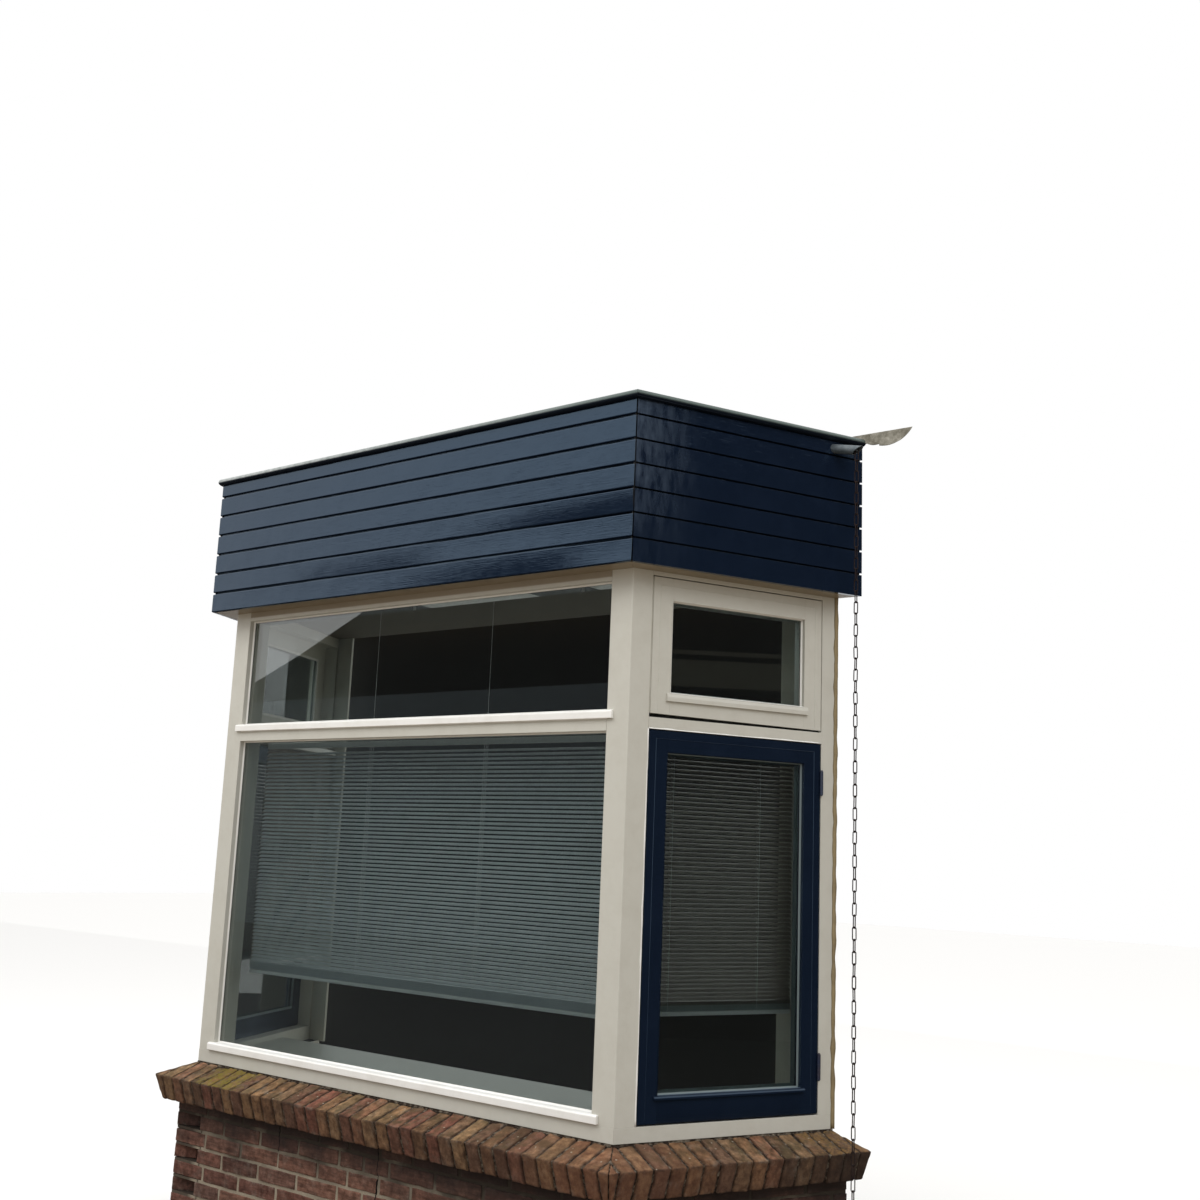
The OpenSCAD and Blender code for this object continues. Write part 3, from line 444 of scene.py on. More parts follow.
# Lime mortar, struck off flush and weathered: a pale, sandy, matt band, blackened under the sill by soot and
# by painted shade.
lime, tree, shader, place = finish_tree("lime_mortar", Roughness=0.95, Specular_IOR_Level=0.2)
sand = add(tree, "ShaderNodeTexNoise", {"Vector": place, "Scale": cells(3.33), "Detail": 4.0,
                                         "Roughness": 0.7})
cloud = add(tree, "ShaderNodeTexNoise", {"Vector": place, "Scale": cells(71.4), "Detail": 5.0})
colour = add(tree, "ShaderNodeMix", {0: cloud.outputs[0], 6: srgb("#726859"), 7: srgb("#a89d8c")},
             data_type="RGBA")
colour = add(tree, "ShaderNodeMix", {0: 0.6, 6: colour.outputs[2], 7: sand.outputs[0]}, data_type="RGBA",
             blend_type="SOFT_LIGHT")
split = add(tree, "ShaderNodeSeparateXYZ", {0: place})
blot = add(tree, "ShaderNodeTexNoise", {"Vector": place, "Scale": cells(167), "Detail": 4.0})
soot_and_shade = add(tree, "ShaderNodeMath", {0: blot.outputs[0], 1: 0.34, 2: split.outputs["Z"]},
           operation="MULTIPLY_ADD")
soot_and_shade = add(tree, "ShaderNodeMapRange", {"Value": soot_and_shade.outputs[0], "From Min": 0.53, "From Max": 0.70,
                                        "To Min": 0.0, "To Max": 0.92})
colour = add(tree, "ShaderNodeMix", {0: soot_and_shade.outputs[0], 6: colour.outputs[2], 7: srgb("#29231f")},
             data_type="RGBA")
# Upward-facing ledges are painted dark, with dirt and painted shade.
facing = add(tree, "ShaderNodeSeparateXYZ", {0: add(tree, "ShaderNodeNewGeometry").outputs["Normal"]})
ledge = add(tree, "ShaderNodeMapRange", {"Value": facing.outputs["Z"], "From Min": 0.4, "From Max": 0.8,
                                         "To Min": 0.0, "To Max": 0.85})
colour = add(tree, "ShaderNodeMix", {0: ledge.outputs[0], 6: colour.outputs[2], 7: srgb("#2f2823")},
             data_type="RGBA")
# The mortar in the notches by the front arrises is darkened with dirt and painted shade.
near_arris = add(tree, "ShaderNodeMath", {0: split.outputs["X"]}, operation="ABSOLUTE")
near_arris = add(tree, "ShaderNodeMapRange", {"Value": near_arris.outputs[0], "From Min": 0.950,
                                              "From Max": 0.985, "To Min": 0.0, "To Max": 0.8})
in_front = add(tree, "ShaderNodeMapRange", {"Value": split.outputs["Y"], "From Min": -0.280,
                                            "From Max": -0.240, "To Min": 1.0, "To Max": 0.0})
near_arris = add(tree, "ShaderNodeMath", {0: near_arris.outputs[0], 1: in_front.outputs[0]},
                 operation="MULTIPLY")
colour = add(tree, "ShaderNodeMix", {0: near_arris.outputs[0], 6: colour.outputs[2], 7: srgb("#332b25")},
             data_type="RGBA")
tree.links.new(cracked(tree, place, colour.outputs[2]), shader.inputs["Base Color"])
bump = add(tree, "ShaderNodeBump", {"Height": sand.outputs[0], "Strength": 0.8, "Distance": 0.0025})
tree.links.new(bump.outputs[0], shader.inputs["Normal"])

chance = random.Random(7)
stretcher = brick_shape("stretcher", BRICK, 0.0028, 0.024)
brick_tree = laid_brick_tree()
arris = face_end(BASE_OUT)
courses = range(math.ceil(FIRST_COURSE_TOP / COURSE))
wall_bricks = []
for k in courses:
    top = FIRST_COURSE_TOP - k * COURSE
    low = max(top - BRICK[2], 0)
    front = own_bricks(k % 2 == 0, HALF_BOND)[:-1]
    gap = 2 * (arris - front[-1][1])
    count = math.ceil((gap - JOINT) / (BRICK[0] + JOINT))
    length = (gap - JOINT) / count - JOINT
    middle = [front[-1][1] + JOINT + i * (length + JOINT) for i in range(count)]
    spans = [("front", arris - b, arris - a, 0) for a, b in front]
    spans += [("front", a - arris, b - arris, 0) for a, b in front]
    spans += [("front", arris - a - length, arris - a, 0) for a in middle]
    start = side_start(BASE_OUT)
    for face in ("right", "left"):
        side = own_bricks(k % 2 == 1, side_stop(BASE_OUT) - start + 0.1)
        spans += [(face, start + a, start + b, 0) for a, b in side]
        spans += [(face, start + a, start + b, SECOND_LEAF) for a, b in side[-2:]]
    for face, a, b, deeper in spans:
        run = FACES[face][1]
        back = BRICK[1] / 2 + chance.uniform(0.0006, 0.0030) + deeper
        spot = on_face(face, (a + b) / 2, BASE_OUT - back, (low + top) / 2 + chance.uniform(-0.0008, 0.0008))
        turn = (chance.gauss(0, 0.004), chance.gauss(0, 0.006),
                math.atan2(run.y, run.x) + chance.gauss(0, 0.004))
        size = ((b - a - chance.uniform(0.0005, 0.0055)) / BRICK[0], 1,
                (top - low) / BRICK[2] * chance.uniform(0.94, 0.99))
        wall_bricks.append((spot, turn, size, chance.random()))
bricks = brick_places("base_wall_bricks", wall_bricks)
run_nodes(bricks, brick_tree, {"Brick": stretcher, "Wear": 0.0062, "Wear Size": 0.030, "Seed": 3.0,
                               "Material": wall_clay})
cut_mesh(bricks, [((0, WALL_Y, 0), (0, 1, 0)), ((0, 0, 0), (0, 0, -1))])
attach(bricks, "root")

SLOPE = math.radians(19)
SILL_OUT = 0.140
SILL_THICK = 0.100
sill_foot = Vector((SILL_OUT - SILL_THICK * math.sin(SLOPE),
                    -SILL_OUT * math.tan(SLOPE) - SILL_THICK * math.cos(SLOPE)))


def under_sill(out):
    """The level of the sill's sloping underside at a distance out."""
    return FOOT + sill_foot.y + (sill_foot.x - out) * math.tan(SLOPE)


BED = BASE_OUT - 0.0045
CHAMFER = 0.140
CHAMFER_BACK = 0.016
LEDGE = 0.160
LEDGE_BACK = 0.030
inner = BASE_OUT - BASE_DEEP
core = prism("base_wall_mortar", [(BED, 0), (BED, under_sill(BED)), (inner, under_sill(inner)), (inner, 0)],
             U_PLAN, lime)
bed_joints = [(FIRST_COURSE_TOP, under_sill(BASE_OUT) + 0.012)]
for k in courses:
    top = FIRST_COURSE_TOP - k * COURSE
    if top > BRICK[2]:
        bed_joints.append((max(top - BRICK[2] - JOINT, 0), top - BRICK[2]))
bm = bmesh.new()
bm.from_mesh(core.data)
for face, side in (("right", 1), ("left", -1)):
    run, out = FACES[face][1:]
    corner = Vector((side * face_end(BASE_OUT), FRONT_Y - BASE_OUT, 0))
    on_front = corner + Vector((-side * CHAMFER, CHAMFER_BACK, 0))
    on_side = corner + run * CHAMFER - out * CHAMFER_BACK
    away = Vector((on_side.y - on_front.y, on_front.x - on_side.x, 0)) * side
    bmesh.ops.bisect_plane(bm, geom=bm.verts[:] + bm.edges[:] + bm.faces[:], plane_co=on_front,
                           plane_no=away, clear_outer=True)
    bmesh.ops.holes_fill(bm, edges=[e for e in bm.edges if e.is_boundary], sides=0)
    tip = Vector((side * face_end(BED), FRONT_Y - BED, 0))
    plan = [tip, tip + run * LEDGE, tip + run * LEDGE - out * LEDGE_BACK, on_side, on_front,
            tip + Vector((-side * LEDGE, LEDGE_BACK, 0)), tip - Vector((side * LEDGE, 0, 0))]
    for low, high in bed_joints:
        lower = [bm.verts.new(p + Vector((0, 0, low))) for p in plan]
        upper = [bm.verts.new(p + Vector((0, 0, high))) for p in plan]
        bm.faces.new(lower)
        bm.faces.new(upper)
        for i in range(len(plan)):
            j = (i + 1) % len(plan)
            bm.faces.new((lower[i], lower[j], upper[j], upper[i]))
bmesh.ops.recalc_face_normals(bm, faces=bm.faces)
bm.to_mesh(core.data)
bm.free()
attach(core, "root")
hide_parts("front_base_wall", "left_base_wall", "right_base_wall")


# Sill. Bricks on edge, bedded side by side at a slope of 19 degrees so that rain runs off. They are
# worn orange-brown on top; their ends are painted darker, purple-brown, as shade, which deepens towards
# the wall, and painted shade darkens their broken edges. There are dark joints and patches of moss, and
# a dark fillet of mortar fills the corner under the frame, standing in as painted shade for the gap there.
PITCH = 0.061
sill_clay, tree, shader, place, colour = clay_finish(
    "weathered_sill_bricks", ["#6b5342", "#987454", "#ab8761", "#9a6453", "#836853", "#b5926b", "#94735a"],
    "#6b5a4c", "#bdb3a2", (19.2, 41.7, 29.4), 0.40, 0.9)
split = add(tree, "ShaderNodeSeparateXYZ", {0: place})
facing = add(tree, "ShaderNodeSeparateXYZ", {0: add(tree, "ShaderNodeNewGeometry").outputs["Normal"]})
topside = add(tree, "ShaderNodeMapRange", {"Value": facing.outputs["Z"], "From Min": 0.35, "From Max": 0.8})
grime_and_shade = add(tree, "ShaderNodeTexNoise", {"Vector": place, "Scale": cells(58.8), "Detail": 6.0,
                                         "Roughness": 0.7})
grime_and_shade = add(tree, "ShaderNodeMapRange", {"Value": grime_and_shade.outputs[0], "From Min": 0.44, "From Max": 0.62,
                                         "To Min": 0.0, "To Max": 0.66})
grime_and_shade = add(tree, "ShaderNodeMath", {0: grime_and_shade.outputs[0], 1: topside.outputs[0]}, operation="MULTIPLY")
colour = add(tree, "ShaderNodeMix", {0: grime_and_shade.outputs[0], 6: colour, 7: srgb("#4f4630")}, data_type="RGBA")
# Painted shade: faces that don't look up, the ends, are darkened purple-brown.
shaded_ends = add(tree, "ShaderNodeMath", {0: 1.0, 1: topside.outputs[0]}, operation="SUBTRACT")
shaded_ends = add(tree, "ShaderNodeMath", {0: shaded_ends.outputs[0], 1: 0.46}, operation="MULTIPLY")
colour = add(tree, "ShaderNodeMix", {0: shaded_ends.outputs[0], 6: colour.outputs[2], 7: srgb("#45332c")},
             data_type="RGBA")
# The painted shade on the ends deepens towards the wall.
shade_towards_wall = add(tree, "ShaderNodeMapRange", {"Value": split.outputs["Y"], "From Min": 0.05, "From Max": 0.42,
                                        "To Min": 0.0, "To Max": 1.4})
shade_towards_wall = add(tree, "ShaderNodeMath", {0: shade_towards_wall.outputs[0], 1: shaded_ends.outputs[0]}, operation="MULTIPLY")
colour = add(tree, "ShaderNodeMix", {0: shade_towards_wall.outputs[0], 6: colour.outputs[2], 7: srgb("#262120")},
             data_type="RGBA")
redder = add(tree, "ShaderNodeMapRange", {"Value": split.outputs["X"], "From Min": 0.50, "From Max": 1.00,
                                          "To Min": 0.0, "To Max": 0.34})
nearer = add(tree, "ShaderNodeMapRange", {"Value": split.outputs["Y"], "From Min": -0.30, "From Max": 0.05,
                                          "To Min": 1.0, "To Max": 0.0})
redder = add(tree, "ShaderNodeMath", {0: redder.outputs[0], 1: nearer.outputs[0]}, operation="MULTIPLY")
colour = add(tree, "ShaderNodeMix", {0: redder.outputs[0], 6: colour.outputs[2], 7: srgb("#6f4637")},
             data_type="RGBA")
# Painted shade between the bricks: their edges darken in irregular patches.
edge_shade = add(tree, "ShaderNodeTexNoise", {"Vector": place, "Scale": cells(32.3), "Detail": 5.0,
                                             "Roughness": 0.7})
edge_shade = add(tree, "ShaderNodeMapRange", {"Value": edge_shade.outputs[0], "From Min": 0.36,
                                             "From Max": 0.60, "To Min": 0.15, "To Max": 0.85})
rim = add(tree, "ShaderNodeAttribute", attribute_name="rim").outputs["Fac"]
edge_shade = add(tree, "ShaderNodeMath", {0: edge_shade.outputs[0], 1: rim}, operation="MULTIPLY")
colour = add(tree, "ShaderNodeMix", {0: edge_shade.outputs[0], 6: colour.outputs[2], 7: srgb("#2b211b")},
             data_type="RGBA")
droppings = add(tree, "ShaderNodeTexVoronoi", {"Vector": place, "Scale": cells(38.5)})
droppings = add(tree, "ShaderNodeMapRange", {"Value": droppings.outputs["Distance"], "From Min": 0.07,
                                             "From Max": 0.10, "To Min": 0.8, "To Max": 0.0})
droppings = add(tree, "ShaderNodeMath", {0: droppings.outputs[0], 1: topside.outputs[0]},
                operation="MULTIPLY")
colour = add(tree, "ShaderNodeMix", {0: droppings.outputs[0], 6: colour.outputs[2], 7: srgb("#a39a89")},
             data_type="RGBA")
moss = add(tree, "ShaderNodeTexNoise", {"Vector": place, "Scale": cells(16.67), "Detail": 6.0,
                                        "Roughness": 0.75})
moss_left = add(tree, "ShaderNodeMapRange", {"Value": split.outputs["X"], "From Min": -0.72,
                                             "From Max": -0.58, "To Min": 1.0, "To Max": 0.0})
moss_left_edge = add(tree, "ShaderNodeMapRange", {"Value": split.outputs["X"], "From Min": -0.98,
                                                  "From Max": -0.84})
moss_left = add(tree, "ShaderNodeMath", {0: moss_left.outputs[0], 1: moss_left_edge.outputs[0]},
                operation="MULTIPLY")
rusty = add(tree, "ShaderNodeMapRange", {"Value": split.outputs["Y"], "From Min": 0.10, "From Max": 0.34,
                                         "To Min": -0.14, "To Max": 0.10})
rusty = add(tree, "ShaderNodeMath", {0: moss.outputs[0], 1: rusty.outputs[0]}, operation="ADD")
rusty = add(tree, "ShaderNodeMapRange", {"Value": rusty.outputs[0], "From Min": 0.56, "From Max": 0.68,
                                         "To Min": 0.0, "To Max": 0.60})
rusty = add(tree, "ShaderNodeMath", {0: rusty.outputs[0], 1: topside.outputs[0]}, operation="MULTIPLY")
colour = add(tree, "ShaderNodeMix", {0: rusty.outputs[0], 6: colour.outputs[2], 7: srgb("#84653a")},
             data_type="RGBA")
moss = add(tree, "ShaderNodeMath", {0: moss_left.outputs[0], 1: 0.26, 2: moss.outputs[0]},
           operation="MULTIPLY_ADD")
moss = add(tree, "ShaderNodeMapRange", {"Value": moss.outputs[0], "From Min": 0.62, "From Max": 0.80,
                                        "To Min": 0.0, "To Max": 0.85})
moss = add(tree, "ShaderNodeMath", {0: moss.outputs[0], 1: topside.outputs[0]}, operation="MULTIPLY")
colour = add(tree, "ShaderNodeMix", {0: moss.outputs[0], 6: colour.outputs[2], 7: srgb("#75682a")},
             data_type="RGBA")
tree.links.new(colour.outputs[2], shader.inputs["Base Color"])

# Old mortar, washed out by rain: dark with dirt, and pale where it has broken.
dark_joint, tree, shader, place = finish_tree("old_dark_mortar", Roughness=0.95, Specular_IOR_Level=0.2)
cloud = add(tree, "ShaderNodeTexNoise", {"Vector": place, "Scale": cells(18.2), "Detail": 6.0,
                                         "Roughness": 0.7})
cloud = add(tree, "ShaderNodeMapRange", {"Value": cloud.outputs[0], "From Min": 0.46, "From Max": 0.74})
colour = add(tree, "ShaderNodeMix", {0: cloud.outputs[0], 6: srgb("#2a211b"), 7: srgb("#8a7f6f")},
             data_type="RGBA")
tree.links.new(colour.outputs[2], shader.inputs["Base Color"])
bump = add(tree, "ShaderNodeBump", {"Height": cloud.outputs[0], "Strength": 0.7, "Distance": 0.003})
tree.links.new(bump.outputs[0], shader.inputs["Normal"])

on_edge_length = (SILL_OUT + 0.002) / math.cos(SLOPE)
on_edge = brick_shape("brick_on_edge", (0.0555, on_edge_length, SILL_THICK), 0.0050, 0.012)


def sill_run(name, face, starts, planes):
    """Bricks on edge along one face, cut back to its mitre planes."""
    run = FACES[face][1]
    places = []
    for start in starts:
        drop = chance.uniform(0.0015, 0.0040)
        deep = chance.uniform(0.0015, 0.0065)
        out = SILL_OUT / 2 - 0.001 - deep - (SILL_THICK / 2 + drop) * math.sin(SLOPE)
        up = FOOT - (SILL_OUT / 2 - 0.001) * math.tan(SLOPE) - (SILL_THICK / 2 + drop) * math.cos(SLOPE)
        spot = on_face(face, start + PITCH / 2 + chance.uniform(-0.0015, 0.0015), out, up)
        turn = (SLOPE + chance.gauss(0, 0.006), chance.gauss(0, 0.014),
                math.atan2(run.y, run.x) + chance.gauss(0, 0.011))
        if face == "left":
            turn = (-turn[0], turn[1], turn[2])
        size = (chance.uniform(0.94, 1.04), 1, 1)
        places.append((spot, turn, size, chance.random()))
    piece = brick_places(name, places)
    run_nodes(piece, brick_tree, {"Brick": on_edge, "Wear": 0.0090, "Wear Size": 0.028, "Seed": 8.0,
                                  "Material": sill_clay})
    cut_mesh(piece, planes)
    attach(piece, "root")


mitre = {side: (Vector((side * HALF_FRONT, FRONT_Y, 0)),
                Vector((side * math.cos(CANT / 2), math.sin(CANT / 2), 0))) for side in (1, -1)}
half_joint = 0.0020
front_start = -face_end(SILL_OUT) - 0.012
front_count = math.ceil(2 * face_end(SILL_OUT) / PITCH) + 1
sill_run("front_sill_bricks", "front", [front_start + k * PITCH for k in range(front_count)],
         [(mitre[s][0] - mitre[s][1] * half_joint, mitre[s][1]) for s in (1, -1)])
arris_start = side_start(SILL_OUT) - 0.020
side_count = math.ceil((side_stop(SILL_OUT) - side_start(SILL_OUT)) / PITCH) + 1
for face, s in (("right", 1), ("left", -1)):
    sill_run(face + "_sill_bricks", face, [arris_start + k * PITCH for k in range(side_count)],
             [(mitre[s][0] + mitre[s][1] * half_joint, -mitre[s][1]), ((0, WALL_Y, 0), (0, 1, 0))])

# The mortar between the bricks is washed out to a plane below their tops and behind their ends.
washed_top = Vector((0.0015, FOOT - 0.0084))
washed_arris = washed_top + Vector((1, -math.tan(SLOPE))) * 0.1281
washed_foot = washed_arris - Vector((math.sin(SLOPE), math.cos(SLOPE))) * 0.0884
sill_inner = SILL_OUT - BRICK[0] * math.cos(SLOPE)
sill_core = prism("sill_mortar", [washed_arris, washed_top, (washed_top.x, FOOT - 0.0005), (sill_inner, FOOT),
                                  (sill_inner, under_sill(sill_inner)), washed_foot], U_PLAN, dark_joint)
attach(sill_core, "root")
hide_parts("front_brick_sill", "left_brick_sill", "right_brick_sill")


def uneven_strip(name, start, end, across, proud, wide, deep, seed, material):
    """A strip of filler pressed into a corner by hand, so that its width and its height wander; strips
    of this kind also serve as painted highlight and painted shade. It lies on the surface that runs across,
    and stands proud of it."""
    points, faces = [], []
    steps = round((end - start).length / 0.020)
    for k in range(steps + 1):
        spot = start.lerp(end, k / steps)
        w = wide * (1 + 0.65 * noise.noise(Vector((seed, 0, k * 0.34))))
        d = deep * (1 + 0.60 * noise.noise(Vector((seed, 4, k * 0.42))))
        points += [spot, spot + across * w, spot + across * w * 0.35 + proud * d * 0.6, spot + proud * d]
        if k:
            for j in range(4):
                a, b = 4 * (k - 1) + j, 4 * (k - 1) + (j + 1) % 4
                faces.append((a, b, b + 4, a + 4))
    faces += [(0, 1, 2, 3), tuple(4 * steps + j for j in range(4))]
    strip = face_outwards(mesh_piece(name, points, faces, material))
    strip.data.shade_smooth()
    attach(strip, "root")


# The dark fillet of mortar also stands in as painted shade for the gap under the frame.
FILLET_WIDE = 0.010
FILLET_HIGH = 0.0055
fillet_level = FOOT - 0.006
for k, (face, start, stop) in enumerate((("front", -HALF_FRONT, HALF_FRONT), ("right", 0, side_stop(0)),
                                         ("left", 0, side_stop(0)))):
    down_slope = FACES[face][2] * math.cos(SLOPE) - Vector((0, 0, math.sin(SLOPE)))
    uneven_strip(face + "_foot_fillet", on_face(face, start, -0.001, fillet_level),
                 on_face(face, stop - 0.002, -0.001, fillet_level), down_slope, Vector((0, 0, 1)),
                 FILLET_WIDE, FILLET_HIGH, k + 2.5, dark_joint)


# Inside: smooth plaster on the base wall, in flat emulsion, and a board screwed up under the roof's
# framing as the ceiling, its paint darkened as painted shade, since only the windows light it.
def wall_paint(name, colour, roughness, relief):
    """Flat emulsion or satin paint over a nearly even ground, with a trace of roller texture."""
    material, tree, shader, place = finish_tree(name, Roughness=roughness)
    cloud = add(tree, "ShaderNodeTexNoise", {"Vector": place, "Scale": cells(200), "Detail": 4.0})
    tint = add(tree, "ShaderNodeMapRange", {"Value": cloud.outputs[0], "From Min": 0.3, "From Max": 0.7,
                                            "To Min": 0.94, "To Max": 1.03})
    shade = add(tree, "ShaderNodeMix", {0: 1.0, 6: srgb(colour), 7: tint.outputs[0]}, data_type="RGBA",
                blend_type="MULTIPLY")
    tree.links.new(shade.outputs[2], shader.inputs["Base Color"])
    fine = add(tree, "ShaderNodeTexNoise", {"Vector": place, "Scale": cells(3.85), "Detail": 2.0})
    bump = add(tree, "ShaderNodeBump", {"Height": fine.outputs[0], "Strength": relief, "Distance": 0.001})
    tree.links.new(bump.outputs[0], shader.inputs["Normal"])
    return material


def dress(node, material):
    """Gives a CAD node that keeps its own shape its finish."""
    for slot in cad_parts[node].material_slots:
        slot.material = material


dress("base_wall_plaster", wall_paint("painted_plaster", "#d9d6cf", 0.8, 0.5))
dress("ceiling_board", wall_paint("ceiling_in_painted_shade", "#6f6a61", 0.7, 0.2))


# Timber frame. Bottom rails, posts, transoms and heads of planed softwood, tenoned together, with
# eased arrises, in cream gloss with faint dirt. The window board, the soffit boards, the beads under
# the panes and the top sashes are joinery of the same kind.
def timbers(bm):
    """The loose pieces that a mesh holds, as lists of their points."""
    left = set(bm.verts)
    while left:
        piece = [left.pop()]
        for v in piece:
            for edge in v.link_edges:
                other = edge.other_vert(v)
                if other in left:
                    left.discard(other)
                    piece.append(other)
        yield piece


def eased(node, name, material, ease=0.0018, planes=(), crease=12):
    """A copy of a CAD node with its arrises rounded along the grain, as a plane and sandpaper leave
    them, and cut back to planes where it gets any."""
    bm = bmesh.new()
    bm.from_mesh(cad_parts[node].data)
    bmesh.ops.remove_doubles(bm, verts=bm.verts, dist=0.00002)
    bmesh.ops.dissolve_limit(bm, angle_limit=math.radians(1.5), verts=bm.verts, edges=bm.edges)
    weight = bm.edges.layers.float.new("bevel_weight_edge")
    for timber in timbers(bm):
        span = [max(v.co[i] for v in timber) - min(v.co[i] for v in timber) for i in range(3)]
        upright = span[2] > math.hypot(span[0], span[1])
        for edge in {e for v in timber for e in v.link_edges}:
            run = (edge.verts[0].co - edge.verts[1].co).normalized()
            if edge.calc_face_angle(0) > math.radians(20) and (abs(run.z) > 0.7) == upright:
                edge[weight] = 1
    mesh = bpy.data.meshes.new(name)
    bm.to_mesh(mesh)
    bm.free()
    mesh.materials.append(material)
    piece = bpy.data.objects.new(name, mesh)
    bpy.context.scene.collection.objects.link(piece)
    bevel = piece.modifiers.new("eased", "BEVEL")
    bevel.width = ease
    bevel.segments = 2
    bevel.limit_method = "WEIGHT"
    bpy.context.view_layer.update()
    evaluated = piece.evaluated_get(bpy.context.evaluated_depsgraph_get())
    plain = bpy.data.meshes.new_from_object(evaluated)
    piece.modifiers.clear()
    piece.data = plain
    cut_mesh(piece, planes)
    plain.shade_smooth()
    plain.set_sharp_from_angle(angle=math.radians(crease))
    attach(piece, "root")
    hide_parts(node)
    return piece


def gloss_paint(name, colour, dirt, grain, roughness, relief, dirt_share):
    """Oil gloss brushed on, or sealant tooled by finger: its marks, whose size is given in three
    directions, slow waves, and dirt that settles in clouds."""
    material, tree, shader, place = finish_tree(name, Roughness=roughness, Coat_Weight=0.25,
                                                Coat_Roughness=0.12)
    stretch = add(tree, "ShaderNodeMapping", {"Vector": place, "Scale": [cells(mark) for mark in grain]})
    brush = add(tree, "ShaderNodeTexNoise", {"Vector": stretch.outputs[0], "Scale": 1.0, "Detail": 4.0,
                                             "Roughness": 0.6})
    waves = add(tree, "ShaderNodeTexNoise", {"Vector": place, "Scale": cells(143), "Detail": 2.0})
    stain = add(tree, "ShaderNodeTexNoise", {"Vector": place, "Scale": cells(91), "Detail": 7.0,
                                             "Roughness": 0.7})
    stain = add(tree, "ShaderNodeMapRange", {"Value": stain.outputs[0], "From Min": 0.45, "From Max": 0.75,
                                             "To Min": 0.0, "To Max": dirt_share})
    shade = add(tree, "ShaderNodeMix", {0: stain.outputs[0], 6: srgb(colour), 7: srgb(dirt)},
                data_type="RGBA")
    tree.links.new(shade.outputs[2], shader.inputs["Base Color"])
    height = add(tree, "ShaderNodeMath", {0: waves.outputs[0], 1: 4.0, 2: brush.outputs[0]},
                 operation="MULTIPLY_ADD")
    bump = add(tree, "ShaderNodeBump", {"Height": height.outputs[0], "Strength": relief, "Distance": 0.0012})
    tree.links.new(bump.outputs[0], shader.inputs["Normal"])
    return material


def over_paint(material):
    """A finish's tree and shader, with the place and the colour that a layer on top of it starts from."""
    tree = material.node_tree
    shader = tree.nodes["Principled BSDF"]
    place = add(tree, "ShaderNodeTexCoord").outputs["Object"]
    return tree, shader, place, shader.inputs["Base Color"].links[0].from_socket


CREAM = "#cac8be"
CREAM_DIRT = "#9a917f"
UPRIGHT_GRAIN = (2.38, 2.38, 111)
LEVEL_GRAIN = (111, 111, 2.38)
cream_upright = gloss_paint("cream_gloss_upright", CREAM, CREAM_DIRT, UPRIGHT_GRAIN, 0.38, 0.35, 0.16)
cream_level = gloss_paint("cream_gloss_level", CREAM, CREAM_DIRT, LEVEL_GRAIN, 0.38, 0.35, 0.16)
head_paint = gloss_paint("cream_gloss_under_soffit", CREAM, CREAM_DIRT, LEVEL_GRAIN, 0.38, 0.35, 0.16)
# The soffit's cream is painted a darker tan-brown, as shade under the overhang, with its own dirt in clouds.
shaded_soffit_paint = gloss_paint("cream_gloss_soffit_painted_shade", "#94846b", "#6b5d48", LEVEL_GRAIN, 0.45, 0.35, 0.35)
# White gloss for the beads and clips, also used for strips of painted highlight.
white_gloss_and_highlight = gloss_paint("white_gloss_bead_and_highlight", "#f5f4f0", "#cbc6ba", LEVEL_GRAIN, 0.30, 0.35, 0.25)

# A chip in the corner post's paint, flat and as wide as a thumb, just above its foot.
CHIP = (1.0584, -0.3122, 0.7638)
chip_scale = [cells(size) for size in (16.7, 16.7, 2.38)]
tree, shader, place, sound = over_paint(cream_upright)
reach = add(tree, "ShaderNodeMapping", {"Vector": place, "Scale": chip_scale,
                                        "Location": [-at * scale for at, scale in zip(CHIP, chip_scale)]})
reach = add(tree, "ShaderNodeVectorMath", {0: reach.outputs[0]}, operation="LENGTH")
reach = add(tree, "ShaderNodeMapRange", {"Value": reach.outputs["Value"], "From Min": 0.8, "From Max": 1.1,
                                         "To Min": 0.8, "To Max": 0.0})
sound = add(tree, "ShaderNodeMix", {0: reach.outputs[0], 6: sound, 7: srgb("#6f6f68")}, data_type="RGBA")
tree.links.new(sound.outputs[2], shader.inputs["Base Color"])

# Painted shade under the soffit browns the upper part of the head, down to a level below which it stays
# cream.
SOFFIT_SHADE_LEVEL = FOOT + 1.810
tree, shader, place, clean = over_paint(head_paint)
split = add(tree, "ShaderNodeSeparateXYZ", {0: place})
grime_and_shade = add(tree, "ShaderNodeMapRange", {"Value": split.outputs["Z"], "From Min": SOFFIT_SHADE_LEVEL - 0.002,
                                         "From Max": SOFFIT_SHADE_LEVEL + 0.002, "To Min": 0.0, "To Max": 0.72})
clean = add(tree, "ShaderNodeMix", {0: grime_and_shade.outputs[0], 6: clean, 7: srgb("#86745b")}, data_type="RGBA")
tree.links.new(clean.outputs[2], shader.inputs["Base Color"])

